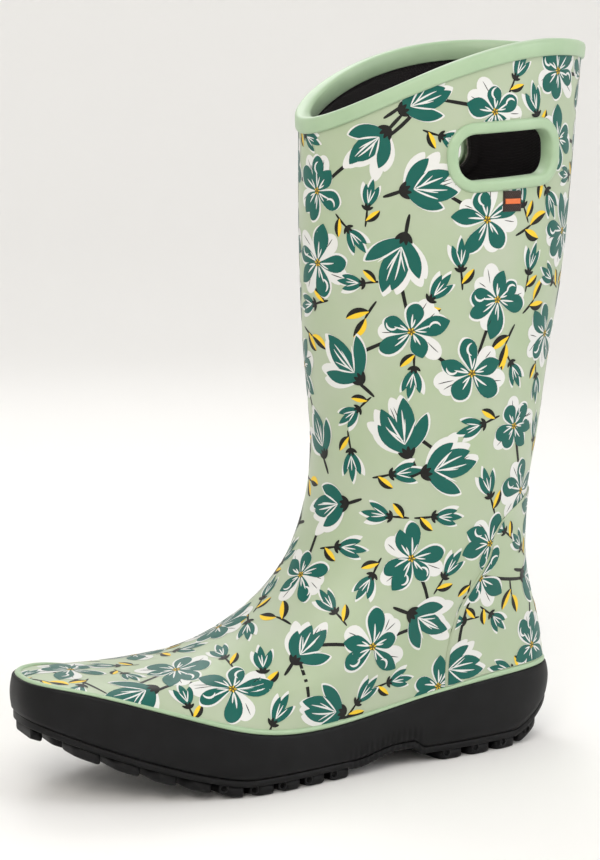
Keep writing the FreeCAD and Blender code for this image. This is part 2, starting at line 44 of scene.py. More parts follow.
# The boot's outer form: closed rings from the sole's feather line to the rim, in millimetres.
form = {
    "originX": 7.05, "toeX": -141.0, "heelX": 142.0,
    # level, front x, front z, back x, back z, side z, free of the sole line, oval, half width, corners
    "rings": [
        (0.00, -141.0, 57.0, 142.0, 39.0, 41.0, 0.0, 0.00, 38.0, 2.50),
        (0.05, -128.0, 58.0, 140.5, 47.0, 39.0, 0.5, 0.10, 38.0, 2.45),
        (0.11, -100.0, 56.0, 138.3, 57.0, 49.0, 1.0, 0.25, 38.0, 2.40),
        (0.17, -70.0, 56.5, 135.0, 69.0, 60.0, 1.0, 0.45, 39.0, 2.35),
        (0.23, -38.0, 66.5, 131.0, 81.0, 74.0, 1.0, 0.65, 40.0, 2.30),
        (0.29, -10.0, 86.0, 127.5, 96.0, 91.0, 1.0, 0.85, 41.5, 2.25),
        (0.35, 5.5, 108.5, 126.3, 112.0, 110.0, 1.0, 1.00, 43.0, 2.20),
        (0.42, 13.5, 134.0, 127.5, 133.0, 133.0, 1.0, 1.00, 45.0, 2.15),
        (0.49, 15.5, 157.0, 132.0, 158.0, 157.0, 1.0, 1.00, 47.0, 2.10),
        (0.60, 12.5, 193.0, 138.0, 197.0, 195.0, 1.0, 1.00, 49.5, 2.05),
        (0.74, 9.5, 237.0, 146.5, 246.0, 243.0, 1.0, 1.00, 52.0, 2.00),
        (0.88, 8.7, 279.0, 151.5, 303.0, 297.0, 1.0, 1.00, 53.5, 2.00),
        (1.00, 8.7, 316.5, 155.8, 351.5, 349.0, 1.0, 1.00, 54.0, 2.00),
        (1.06, 8.7, 336.5, 157.6, 371.5, 369.0, 1.0, 1.00, 54.3, 2.00)],
    # share of the foot's length from the toe, height of the sidewall's top edge
    "band": [(0.0, 57.0), (0.07, 54.0), (0.155, 47.5), (0.245, 39.5), (0.34, 31.5), (0.42, 28.0),
             (0.50, 27.5), (0.57, 29.0), (0.645, 32.0), (0.715, 35.0), (0.83, 38.0), (1.0, 39.0)],
    # share of the length, half width on the outer side and on the inner side
    "plan": [(0.0, 43.0, 50.0), (0.12, 47.5, 52.0), (0.25, 51.5, 51.5), (0.36, 52.0, 47.0),
             (0.50, 44.0, 37.0), (0.65, 37.0, 33.0), (0.80, 36.5, 36.0), (1.0, 36.0, 36.0)],
    "gridAngles": 720, "gridLevels": 900, "lowLevel": -0.06, "highLevel": 1.058,
    "skirtDrop": 260.0,
}
# How the form is searched: number of steps, and the most that one step may turn (radians) or rise (levels).
search = {"halvings": 16, "farthest": 0.12, "sideStart": 0.88, "sideSteps": 12, "sideTurn": 0.2,
          "sideRise": 0.05, "wrapSteps": 6, "wrapTurn": 0.25, "wrapRise": 0.04}


def naturalSpline(xs, ys):
    # cubic through the points, without bend at its ends and straight on past them
    xs, ys = np.array(xs, float), np.array(ys, float)
    n, h = len(xs), np.diff(xs)
    slope = np.diff(ys) / h
    system, right = np.eye(n), np.zeros(n)
    for i in range(1, n - 1):
        system[i, i - 1:i + 2] = h[i - 1], 2 * (h[i - 1] + h[i]), h[i]
        right[i] = 6 * (slope[i] - slope[i - 1])
    bend = np.linalg.solve(system, right)
    endSlope = (slope[0] - h[0] * bend[1] / 6, slope[-1] + h[-1] * bend[-2] / 6)

    def value(x):
        x = np.asarray(x, float)
        i = np.clip(np.searchsorted(xs, x) - 1, 0, n - 2)
        inside = np.clip(x, xs[0], xs[-1])
        a, b = xs[i + 1] - inside, inside - xs[i]
        y = (bend[i] * a ** 3 + bend[i + 1] * b ** 3) / (6 * h[i])
        y = y + (ys[i] / h[i] - bend[i] * h[i] / 6) * a + (ys[i + 1] / h[i] - bend[i + 1] * h[i] / 6) * b
        return y + np.minimum(x - xs[0], 0) * endSlope[0] + np.maximum(x - xs[-1], 0) * endSlope[1]
    return value


ringTable = np.array(form["rings"])
ringValue = [naturalSpline(ringTable[:, 0], ringTable[:, k]) for k in range(1, 10)]
bandAt = naturalSpline(*zip(*form["band"]))
outerHalf = naturalSpline([p[0] for p in form["plan"]], [p[1] for p in form["plan"]])
innerHalf = naturalSpline([p[0] for p in form["plan"]], [p[2] for p in form["plan"]])
footLength = form["heelX"] - form["toeX"]


def smoothStep(x, start, end):
    # 0 before start, 1 after end, an even S between
    t = np.clip((x - start) / (end - start), 0, 1)
    return t * t * (3 - 2 * t)


def formPoint(angle, level):
    # ring at this level: a superellipse between its front and back points, its height a parabola along x
    # below level 0, behind the sidewall, it drops straight down
    frontX, frontZ, backX, backZ, sideZ, free, oval, half, corners = [
        f(np.maximum(level, 0.0)) for f in ringValue]
    free, oval = np.clip(free, 0, 1), np.clip(oval, 0, 1)
    cosine, sine = np.cos(angle), np.sin(angle)
    rho = (np.abs(cosine) ** corners + np.abs(sine) ** corners) ** (-1 / corners)
    s = (1 + cosine * rho) / 2
    width = np.where(sine > 0, outerHalf(s), innerHalf(s)) * (1 - oval) + half * oval
    arc = frontZ * (1 - s) * (1 - 2 * s) + 4 * sideZ * s * (1 - s) + backZ * s * (2 * s - 1)
    z = (1 - free) * bandAt(s) + free * arc + form["skirtDrop"] * np.minimum(level, 0.0)
    x = frontX + (backX - frontX) * s - form["originX"]
    return np.stack([x, -width * sine * rho, z], axis=-1) * mm


gridLevel = np.linspace(form["lowLevel"], form["highLevel"], form["gridLevels"])
gridAngle = np.arange(form["gridAngles"]) * 2 * np.pi / form["gridAngles"]
gridPoint = formPoint(gridAngle[None, :], gridLevel[:, None])
aroundStep, upStep = 2 * np.pi / form["gridAngles"], gridLevel[1] - gridLevel[0]
gridAround = (np.roll(gridPoint, -1, 1) - np.roll(gridPoint, 1, 1)) / (2 * aroundStep)
gridUp = np.gradient(gridPoint, upStep, axis=0)
formGrid = np.concatenate([gridPoint, gridAround, gridUp], axis=2)


def sampleForm(angle, level):
    # straight interpolation in the fine grid: point, slope round the boot, slope up the boot
    a = np.mod(angle, 2 * np.pi) / aroundStep
    v = np.clip((level - gridLevel[0]) / upStep, 0, len(gridLevel) - 1.001)
    i, j = a.astype(int) % len(gridAngle), v.astype(int)
    fa, fv = (a - np.floor(a))[..., None], (v - j)[..., None]
    k = (i + 1) % len(gridAngle)
    low = formGrid[j, i] * (1 - fa) + formGrid[j, k] * fa
    high = formGrid[j + 1, i] * (1 - fa) + formGrid[j + 1, k] * fa
    both = low * (1 - fv) + high * fv
    return both[..., 0:3], both[..., 3:6], both[..., 6:9]


def unit(v):
    # each vector divided by its length
    return v / np.maximum(np.linalg.norm(v, axis=-1, keepdims=True), 1e-12)


def skin(angle, level, out):
    # point of the form moved outwards by out millimetres along its normal
    angle, level = np.broadcast_arrays(np.asarray(angle, float), np.asarray(level, float))
    point, around, up = sampleForm(angle, level)
    return point + unit(np.cross(up, around)) * (np.asarray(out) * mm)[..., None]


def levelAt(angle, start, distance):
    # level that lies this far (mm) up the form from a starting level, found by halving
    origin = sampleForm(angle, np.full_like(angle, start))[0]
    sign = np.sign(distance)
    low, high = np.zeros_like(angle), np.full_like(angle, search["farthest"])
    for halving in range(search["halvings"]):
        middle = (low + high) / 2
        reach = np.linalg.norm(sampleForm(angle, start + sign * middle)[0] - origin, axis=-1)
        near = reach < abs(distance) * mm
        low, high = np.where(near, middle, low), np.where(near, high, middle)
    return start + sign * low


def hexColour(code):
    # sRGB hex value to linear light, by the standard's own curve
    values = [int(code[i:i + 2], 16) / 255 for i in (1, 3, 5)]
    linear = [c / 12.92 if c <= 0.04045 else ((c + 0.055) / 1.055) ** 2.4 for c in values]
    return (*linear, 1.0)


def addNode(tree, kind, values=None, links=None, **settings):
    # one node with its settings, its socket values and the outputs that feed it
    node = tree.nodes.new(kind)
    for name, value in settings.items():
        setattr(node, name, value)
    for name, value in (values or {}).items():
        node.inputs[name].default_value = value
    for name, source in (links or {}).items():
        tree.links.new(source, node.inputs[name])
    return node


finish = {"cloudLow": 0.35, "cloudHigh": 0.7, "cloudDetail": 3.0, "grainDetail": 2.0}


def makeFinish(name, colour, roughness, grain=(), mottle=None, **sockets):
    # satin to matt surface: grain is a list of (size mm, depth mm), mottle is (second colour, size mm, share)
    material = bpy.data.materials.new(name)
    material.use_nodes = True
    tree = material.node_tree
    tree.nodes.clear()
    place = addNode(tree, "ShaderNodeTexCoord").outputs["Object"]
    values = {"Base Color": hexColour(colour), "Roughness": roughness}
    values.update(sockets)
    links = {}
    if mottle:
        second, size, share = mottle
        cloud = addNode(tree, "ShaderNodeTexNoise",
                        {"Scale": 1 / (size * mm), "Detail": finish["cloudDetail"]}, {"Vector": place})
        curve = addNode(tree, "ShaderNodeMapRange",
                        {"From Min": finish["cloudLow"], "From Max": finish["cloudHigh"], "To Max": share},
                        {"Value": cloud.outputs["Fac"]})
        blend = addNode(tree, "ShaderNodeMix", {6: hexColour(colour), 7: hexColour(second)},
                        {0: curve.outputs["Result"]}, data_type="RGBA")
        links["Base Color"] = blend.outputs[2]
    normal = None
    for size, depth in grain:
        pattern = addNode(tree, "ShaderNodeTexNoise",
                          {"Scale": 1 / (size * mm), "Detail": finish["grainDetail"]}, {"Vector": place})
        wires = {"Height": pattern.outputs["Fac"]}
        if normal:
            wires["Normal"] = normal
        normal = addNode(tree, "ShaderNodeBump", {"Distance": depth * mm, "Strength": 1.0},
                         wires).outputs["Normal"]
    if normal:
        links["Normal"] = normal
    shader = addNode(tree, "ShaderNodeBsdfPrincipled", values, links)
    addNode(tree, "ShaderNodeOutputMaterial", links={"Surface": shader.outputs["BSDF"]})
    return material


# ribs of a wave texture lie waveScale over its scale apart; the fibres are fibreShare of the thread pitch
knit = {"waveScale": 0.32, "wobble": 2.0, "fibreShare": 0.35, "roughness": 0.95, "sheenRoughness": 0.4}


def makeKnit(name, colour, second, pitch, depth, sheen):
    # brushed knit: two crossed sets of ribs at the thread pitch, broken by fibres
    material = bpy.data.materials.new(name)
    material.use_nodes = True
    tree = material.node_tree
    tree.nodes.clear()
    place = addNode(tree, "ShaderNodeTexCoord").outputs["Object"]
    thread = {"Scale": 1 / (pitch * mm) * knit["waveScale"], "Distortion": knit["wobble"], "Detail": 1.0}
    up = addNode(tree, "ShaderNodeTexWave", thread, {"Vector": place}, bands_direction="Z")
    across = addNode(tree, "ShaderNodeTexWave", thread, {"Vector": place}, bands_direction="DIAGONAL")
    ribs = addNode(tree, "ShaderNodeMath", links={0: up.outputs["Fac"], 1: across.outputs["Fac"]},
                   operation="MULTIPLY")
    fibre = addNode(tree, "ShaderNodeTexNoise",
                    {"Scale": 1 / (knit["fibreShare"] * pitch * mm), "Detail": 4.0}, {"Vector": place})
    height = addNode(tree, "ShaderNodeMath", links={0: ribs.outputs[0], 1: fibre.outputs["Fac"]},
                     operation="ADD")
    blend = addNode(tree, "ShaderNodeMix", {6: hexColour(colour), 7: hexColour(second)},
                    {0: ribs.outputs[0]}, data_type="RGBA")
    bump = addNode(tree, "ShaderNodeBump", {"Distance": depth * mm, "Strength": 1.0},
                   {"Height": height.outputs[0]})
    shader = addNode(tree, "ShaderNodeBsdfPrincipled",
                     {"Roughness": knit["roughness"], "Sheen Weight": sheen,
                      "Sheen Roughness": knit["sheenRoughness"]},
                     {"Base Color": blend.outputs[2], "Normal": bump.outputs["Normal"]})
    addNode(tree, "ShaderNodeOutputMaterial", links={"Surface": shader.outputs["BSDF"]})
    return material


# Moulded natural rubber with a satin skin: soft wide highlight, faint mould grain, paler at a glance.
sageRubber = makeFinish("satin sage rubber", "#a5b594", 0.42, [(9.0, 0.05), (0.9, 0.012)],
                        ("#afb8a2", 40.0, 0.8), **{"Sheen Weight": 0.12, "Sheen Roughness": 0.5})
# The same compound without print, a little glossier from a polished mould.
trimRubber = makeFinish("moulded pale green rubber", "#9fb996", 0.4, [(0.8, 0.01)],
                        ("#a9c19f", 14.0, 0.6), **{"Sheen Weight": 0.1, "Sheen Roughness": 0.5})
# Carbon-black sole rubber, matt from a sandblasted mould.
soleRubber = makeFinish("matt carbon rubber", "#0a0a0b", 0.5, [(3.0, 0.03), (0.5, 0.02)],
                        ("#111113", 11.0, 0.8), **{"Specular IOR Level": 0.2})
# Screen-printed inks under a satin varnish: flat colour with the rubber's grain showing through.
inkGrain, varnish = [(0.9, 0.012)], {"Specular IOR Level": 0.3}
inkTeal = makeFinish("teal screen ink", "#04594f", 0.4, inkGrain, **varnish)
inkWhite = makeFinish("white screen ink", "#dbdbd8", 0.44, inkGrain, **varnish)
inkYellow = makeFinish("yellow screen ink", "#ecc52f", 0.44, inkGrain, **varnish)
inkBlack = makeFinish("black screen ink", "#0d0c08", 0.44, inkGrain, **varnish)
inkOlive = makeFinish("olive screen ink", "#62511a", 0.46, inkGrain, **varnish)
# Textiles: dark brushed lining, its colour darkened below its own as painted shade for the dim inside of the
# boot, thick pale fleece, open mesh on the footbed, tight webbing on the tab.
liningKnit = makeKnit("brushed knit lining", "#070204", "#12070b", 0.8, 0.3, 0.04)
fleeceKnit = makeKnit("fleece padding", "#8b857c", "#a29b90", 1.6, 0.5, 0.3)
coverKnit = makeKnit("footbed mesh knit", "#1f1d1e", "#343133", 1.0, 0.3, 0.2)
webbing = makeKnit("woven webbing", "#3a2b26", "#241a17", 0.7, 0.2, 0.15)
# The tab's stripe is thick rubber print; board, foam and spring steel stiffen and fill the inside.
inkOrange = makeFinish("orange rubber print", "#d9682f", 0.5, [(0.6, 0.02)], ("#e37c42", 3.0, 0.5))
fibreBoard = makeFinish("pressed fibre board", "#9c8765", 0.8, [(1.2, 0.08)], ("#857150", 3.0, 0.8))
cellFoam = makeFinish("closed cell foam", "#4a4c4f", 0.85, [(0.8, 0.12)], ("#595b5e", 5.0, 0.8))
springSteel = makeFinish("rolled spring steel", "#8c8f92", 0.35, [(0.6, 0.01)], Metallic=1.0)
print("materials made")


meshing = {"mergeGap": 1e-6, "shortEdge": 1e-7, "thinFace": 1e-10}     # metres, square metres for the face


def buildMesh(name, points, quads, material, closed=False):
    # mesh from whole arrays of points and quads; unused points are left out, closed shells turned outwards
    used, compact = np.unique(quads, return_inverse=True)
    points, quads = points.reshape(-1, 3)[used], compact.reshape(quads.shape)
    mesh = bpy.data.meshes.new(name)
    mesh.vertices.add(len(points))
    mesh.vertices.foreach_set("co", points.astype(np.float32).ravel())
    mesh.loops.add(quads.size)
    mesh.loops.foreach_set("vertex_index", quads.astype(np.int32).ravel())
    mesh.polygons.add(len(quads))
    mesh.polygons.foreach_set("loop_start", np.arange(len(quads), dtype=np.int32) * 4)
    mesh.update(calc_edges=True)
    mesh.polygons.foreach_set("use_smooth", np.full(len(quads), True))
    if closed:
        work = bmesh.new()
        work.from_mesh(mesh)
        bmesh.ops.remove_doubles(work, verts=work.verts, dist=meshing["mergeGap"])
        bmesh.ops.dissolve_degenerate(work, edges=work.edges, dist=meshing["shortEdge"])
        bmesh.ops.recalc_face_normals(work, faces=work.faces)
        work.to_mesh(mesh)
        work.free()
    piece = bpy.data.objects.new(name, mesh)
    bpy.context.scene.collection.objects.link(piece)
    mesh.materials.append(material)
    return piece


def gridQuads(rows, columns, wrapRows=False, wrapColumns=False):
    # quads of a grid whose faces look along rows cross columns
    i = np.arange(rows if wrapRows else rows - 1)[:, None]
    j = np.arange(columns if wrapColumns else columns - 1)[None, :]
    nextI, nextJ = (i + 1) % rows, (j + 1) % columns
    corners = [i * columns + j, nextI * columns + j, nextI * columns + nextJ, i * columns + nextJ]
    return np.stack([np.broadcast_to(c, (len(i), j.size)) for c in corners], axis=-1).reshape(-1, 4)


def loopPiece(name, points, material, wrapRows=True):
    # closed ring-shaped piece: a closed section carried round a closed path
    rows, columns = points.shape[:2]
    return buildMesh(name, points, gridQuads(rows, columns, wrapRows, True), material, closed=True)


def settle(piece, slot, *nodes, body="boot"):
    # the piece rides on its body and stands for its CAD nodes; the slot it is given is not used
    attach(piece, body)
    if nodes:
        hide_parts(*nodes)
    return piece


pullSlot = {"x": 91.0, "z": 300.5, "length": 55.0, "height": 22.0, "radius": 9.0, "tilt": 3.5,
            "shellGap": 3.0, "printGap": 4.6, "flowerGap": 2.0, "core": 20.0}


def slotDistance(points):
    # distance (mm) outside the pull slot's rounded outline, seen from the side
    tilt = math.radians(pullSlot["tilt"])
    dx = points[..., 0] / mm + form["originX"] - pullSlot["x"]
    dz = points[..., 2] / mm - pullSlot["z"]
    u = np.abs(dx * math.cos(tilt) + dz * math.sin(tilt)) - pullSlot["length"] / 2 + pullSlot["radius"]
    v = np.abs(dz * math.cos(tilt) - dx * math.sin(tilt)) - pullSlot["height"] / 2 + pullSlot["radius"]
    outside = np.hypot(np.maximum(u, 0), np.maximum(v, 0)) + np.minimum(np.maximum(u, v), 0)
    return outside - pullSlot["radius"]


def clearOfSlot(points, gap):
    # true where a point is more than gap (mm) outside both slots, or in the core between them
    return (slotDistance(points) > gap) | (np.abs(points[..., 1]) < pullSlot["core"] * mm)


def onSide(x, z, side):
    # angle and level of the form's point at x and z (mm) on the outer (-1) or inner (+1) side
    angle = np.full(x.shape, math.pi / 2 if side < 0 else -math.pi / 2)
    level = np.full(x.shape, search["sideStart"])
    for step in range(search["sideSteps"]):
        point, around, up = sampleForm(angle, level)
        dx = (x - form["originX"]) * mm - point[..., 0]
        dz = z * mm - point[..., 2]
        spread = around[..., 0] * up[..., 2] - up[..., 0] * around[..., 2]
        turn = (dx * up[..., 2] - dz * up[..., 0]) / spread
        rise = (dz * around[..., 0] - dx * around[..., 2]) / spread
        angle = angle + np.clip(turn, -search["sideTurn"], search["sideTurn"])
        level = level + np.clip(rise, -search["sideRise"], search["sideRise"])
    return angle, level


shell = {"columns": 300, "rows": 210, "low": -0.045, "high": 0.9995, "thickness": 2.4}


def makeShell():
    # the form's own surface with its wall turned inwards and two pull slots left open
    angle = np.arange(shell["columns"]) * 2 * np.pi / shell["columns"]
    level = np.linspace(shell["low"], shell["high"], shell["rows"])
    points = formPoint(angle[None, :], level[:, None])
    quads = gridQuads(shell["rows"], shell["columns"], False, True)
    middle = points.reshape(-1, 3)[quads].mean(axis=1)
    keep = clearOfSlot(middle, pullSlot["shellGap"])
    piece = buildMesh("printed_shell", points, quads[keep], sageRubber)
    wall = piece.modifiers.new("wall", "SOLIDIFY")
    wall.thickness, wall.offset = shell["thickness"] * mm, -1
    return settle(piece, "printed_rubber", "upper_shell")


overlay = {"edge": [(69.0, 20.0), (70.0, 63.5), (76.0, 81.0), (90.0, 104.0), (107.0, 126.5), (160.0, 142.0)],
           "out": 0.9, "thickness": 0.85, "start": 3.4, "rows": 110, "half": 70, "lowLevel": 0.05,
           "rowPower": 0.9, "edgeOut": 0.35, "edgeSlope": 40.0,
           "searchTop": 0.5, "searchRows": 160, "searchTurns": 600, "narrowest": 0.02,
           "flowerReach": 6.0, "flowerTop": 0.47, "printStart": 0.4, "printDrop": 0.004, "printInset": 0.012}
overlayEdge = naturalSpline([p[1] for p in overlay["edge"]], [p[0] for p in overlay["edge"]])


def overlayReach():
    # for each level, how far round from the back the overlay goes on each side before its front edge
    levels = np.linspace(0.0, overlay["searchTop"], overlay["searchRows"])
    turn = np.linspace(0.0, np.pi, overlay["searchTurns"])
    rows = np.arange(len(levels))
    reach = []
    for sign in (1, -1):
        points = formPoint(sign * turn[None, :], levels[:, None]) / mm
        gap = points[..., 0] + form["originX"] - overlayEdge(points[..., 2])
        count = np.argmin(gap > 0, axis=1)
        a, b = np.maximum(count - 1, 0), count
        share = gap[rows, a] / np.maximum(gap[rows, a] - gap[rows, b], 1e-9)
        found = turn[a] + (turn[b] - turn[a]) * np.clip(share, 0, 1)
        reach.append(np.where(count == 0, 0.0, found))
    return levels, reach[0], reach[1]


reachLevels, reachOuter, reachInner = overlayReach()
overlayTop = reachLevels[np.nonzero(reachOuter > overlay["narrowest"])[0][-1]]


def makeOverlay():
    # a sheet over the heel, wider below, with a slanted front edge on each side
    low = overlay["lowLevel"]
    share = np.linspace(0, 1, overlay["rows"]) ** overlay["rowPower"]
    level = low + (overlayTop - low) * share
    outer = np.interp(level, reachLevels, reachOuter)
    inner = np.interp(level, reachLevels, reachInner)
    u = np.linspace(-1, 1, 2 * overlay["half"] + 1)
    angle = np.where(u[None, :] > 0, u[None, :] * outer[:, None], u[None, :] * inner[:, None])
    base = levelAt(angle, 0.0, overlay["start"])
    full = level[:, None] + (base - low) * (1 - share[:, None]) ** 3
    # its surface swells out from the shell at the front edge and stays one sheet thick behind
    swell = np.sqrt(np.clip((1 - np.abs(u)) * overlay["edgeSlope"], 0, 1))[None, :]
    points = skin(angle, full, overlay["out"] * (overlay["edgeOut"] + (1 - overlay["edgeOut"]) * swell))
    piece = buildMesh("heel_overlay_sheet", points, gridQuads(*points.shape[:2]), sageRubber)
    wall = piece.modifiers.new("sheet", "SOLIDIFY")
    wall.thickness, wall.offset = overlay["thickness"] * mm, -1
    return settle(piece, "printed_rubber", "heel_overlay")


piping = {"columns": 360, "low": 0.15, "high": 3.3, "out": 1.3, "foot": -0.4, "steps": 9, "cut": 0.04,
          "fullness": 0.55}


def makePiping():
    # half-round bead just above the sidewall: height along the form, bulge by the sine of its share,
    # flat behind where its foot sinks into the shell
    angle = np.arange(piping["columns"]) * 2 * np.pi / piping["columns"]
    rows = []
    for share in np.linspace(0, 1, piping["steps"]):
        distance = piping["low"] + (piping["high"] - piping["low"]) * share
        bulge = math.sin(math.pi * (piping["cut"] + (1 - 2 * piping["cut"]) * share))
        out = piping["out"] * bulge ** piping["fullness"]
        rows.append(skin(angle, levelAt(angle, 0.0, distance), out))
    for distance in (piping["high"], piping["low"]):
        rows.append(skin(angle, levelAt(angle, 0.0, distance), piping["foot"]))
    return settle(loopPiece("edge_piping_bead", np.array(rows), trimRubber), "trim_rubber", "edge_piping")


rim = {"columns": 360,
       # section of the binding: out from the form, up from the cut edge, both in mm
       "section": [(-0.3, -6.3), (0.7, -6.45), (1.35, -6.1), (1.7, -5.3), (1.8, -3.0), (1.8, -0.8),
                   (1.55, 0.4), (0.9, 1.2), (-0.2, 1.6), (-2.4, 1.65), (-4.6, 1.6), (-5.6, 1.1),
                   (-6.1, 0.2), (-6.15, -3.0), (-6.0, -8.0), (-5.6, -8.4), (-5.0, -8.2), (-4.9, 0.05),
                   (-0.3, 0.05)]}


def makeBinding():
    # rounded U-shaped section carried round the cut edge of the leg
    angle = np.arange(rim["columns"]) * 2 * np.pi / rim["columns"]
    rows = [skin(angle, levelAt(angle, 1.0, up), out) for out, up in rim["section"]]
    return settle(loopPiece("rim_binding", np.array(rows), trimRubber), "trim_rubber", "top_binding")


pullFrame = {"arcSteps": 12, "lineSteps": 18,
             # section: out from the slot's outline, up from the wall's surface, both in mm
             "section": [(5.6, -0.3), (5.55, 0.5), (5.2, 1.15), (4.5, 1.6), (3.3, 1.78), (2.0, 1.8),
                         (1.0, 1.62), (0.35, 1.1), (0.0, 0.3), (0.0, -5.6), (0.25, -6.0), (0.9, -6.1),
                         (1.4, -5.7), (1.5, -0.3)]}


def slotOutline():
    # points (mm) and outward directions round the slot: four arcs joined by straight runs
    halfX = pullSlot["length"] / 2 - pullSlot["radius"]
    halfZ = pullSlot["height"] / 2 - pullSlot["radius"]
    points, outward = [], []
    corners = [(1, 1, 0), (-1, 1, 90), (-1, -1, 180), (1, -1, 270)]
    for k, (sx, sz, start) in enumerate(corners):
        turn = np.radians(start + np.linspace(0, 90, pullFrame["arcSteps"]))
        direction = np.stack([np.cos(turn), np.sin(turn)], axis=1)
        arc = np.array([sx * halfX, sz * halfZ]) + pullSlot["radius"] * direction
        nextX, nextZ, nextStart = corners[(k + 1) % 4]
        share = np.linspace(0, 1, pullFrame["lineSteps"] + 2)[1:-1, None]
        goal = np.array([nextX * halfX, nextZ * halfZ]) + pullSlot["radius"] * direction[-1]
        points += [arc, arc[-1] * (1 - share) + goal * share]
        outward += [direction, np.repeat(direction[-1:], pullFrame["lineSteps"], axis=0)]
    return np.concatenate(points), np.concatenate(outward)


def makePullFrame(side):
    # raised bead round one slot, with a sleeve through the wall
    outline, outward = slotOutline()
    tilt = math.radians(pullSlot["tilt"])
    turn = np.array([[math.cos(tilt), math.sin(tilt)], [-math.sin(tilt), math.cos(tilt)]])
    rows = []
    for grow, up in pullFrame["section"]:
        flat = (outline + outward * grow) @ turn
        angle, level = onSide(flat[:, 0] + pullSlot["x"], flat[:, 1] + pullSlot["z"], side)
        rows.append(skin(angle, level, np.full(len(flat), up)))
    word = "outer" if side < 0 else "inner"
    piece = loopPiece("pull_frame_" + word, np.array(rows), trimRubber)
    return settle(piece, "trim_rubber", "handle_frame_" + word)


tab = {"x": 93.0, "top": 283.4, "width": 11.0, "height": 10.0, "thick": 0.9, "stripeWidth": 9.0,
       "stripeHeight": 2.6, "stripeSink": 0.05, "stripeRise": 0.45, "foot": 0.3, "sheet": 0.3,
       "edgePower": 10, "steps": 26}


def makePatch(name, material, x, z, width, height, low, high, steps):
    # cushion-like patch on the outer side: full thickness inside, rounded down at its four edges
    u = np.linspace(-1, 1, steps)
    edge = (1 - np.abs(u) ** tab["edgePower"]) ** 0.5
    out = low + (high - low) * edge[None, :] * edge[:, None]
    flatX = np.broadcast_to(x + u[None, :] * width / 2, (steps, steps))
    flatZ = np.broadcast_to(z + u[:, None] * height / 2, (steps, steps))
    angle, level = onSide(flatX, flatZ, -1)
    piece = buildMesh(name, skin(angle, level, out)[:, ::-1], gridQuads(steps, steps), material)
    wall = piece.modifiers.new("thickness", "SOLIDIFY")
    wall.thickness, wall.offset = tab["sheet"] * mm, -1
    return piece


def makeTab():
    # woven tab below the outer slot with one plain stripe
    middle = tab["top"] - tab["height"] / 2
    patch = makePatch("woven_side_tab", webbing, tab["x"], middle, tab["width"], tab["height"],
                      tab["foot"], tab["thick"], tab["steps"])
    settle(patch, "tab_webbing", "side_tab")
    stripe = makePatch("side_tab_stripe", inkOrange, tab["x"], middle, tab["stripeWidth"],
                       tab["stripeHeight"], tab["thick"] - tab["stripeSink"],
                       tab["thick"] + tab["stripeRise"], tab["steps"])
    settle(stripe, "tab_stripe", "tab_stripe")


# The sole: heights of the ground face, the slab and the arch along the foot, in millimetres.
sole = {"lug": 5.0, "slab": 4.0, "toeSpring": 31.0, "springStart": -45.0, "springPower": 1.3,
        "ballEnd": 12.0, "breast": 58.0, "bevelStart": 114.0, "bevelRise": 16.0, "archRise": 5.0,
        "waistStart": 15.0, "waistFull": 42.0, "waistEnd": 50.0, "waistLift": 4.0, "floor": 15.0,
        "liftStart": -20.0, "liftEnd": 75.0, "bevelPower": 1.4, "heelLift": 12.0, "corners": 2.5,
        "ribPitch": 3.2, "ribDepth": 0.5}


def toeSpring(x):
    # rise of the toe: a power of the share of the way from the ball to the tip
    rise = (sole["springStart"] - x) / (sole["springStart"] - form["toeX"] + 1)
    return sole["toeSpring"] * np.maximum(rise, 0) ** sole["springPower"]


def treadLine(x):
    # height of the ground face: the toe's spring and the heel's bevel
    bevel = (x - sole["bevelStart"]) / (form["heelX"] - sole["bevelStart"])
    return toeSpring(x) + sole["bevelRise"] * np.maximum(bevel, 0) ** sole["bevelPower"]


def waist(x):
    # 1 under the waist, 0 under the forefoot and the heel
    return (smoothStep(x, sole["waistStart"], sole["waistFull"])
            - smoothStep(x, sole["waistEnd"], sole["breast"]))


def slabTop(x):
    # height of the slab's upper face, lifted at the waist
    return treadLine(x) + sole["lug"] + sole["slab"] + sole["waistLift"] * waist(x)


def soleFloor(x):
    # height of the board the footbed lies on, higher under the heel
    lift = sole["heelLift"] * smoothStep(x, sole["liftStart"], sole["liftEnd"])
    return toeSpring(x) + sole["floor"] + lift


def bandLine(x):
    # height of the sidewall's top edge
    return bandAt((x - form["toeX"]) / footLength)


def halfAt(x, side, grow):
    # half width (mm) of the sole's plan at x, on the outer (-1) or inner (+1) side
    s = np.clip((x - form["toeX"] + grow) / (footLength + 2 * grow), 0, 1)
    half = np.where(side < 0, outerHalf(s), innerHalf(s)) + grow
    return half * (1 - np.abs(2 * s - 1) ** sole["corners"]) ** (1 / sole["corners"])


def toFrame(x, y, z):
    # millimetres along the foot to metres in the frame
    x, y, z = np.broadcast_arrays(x, y, z)
    return np.stack([x - form["originX"], y, z], axis=-1) * mm


slab = {"stations": 620, "around": 48, "grow": 0.9, "squareness": 9.0, "archEdge": 1.5, "archSink": 1.0}


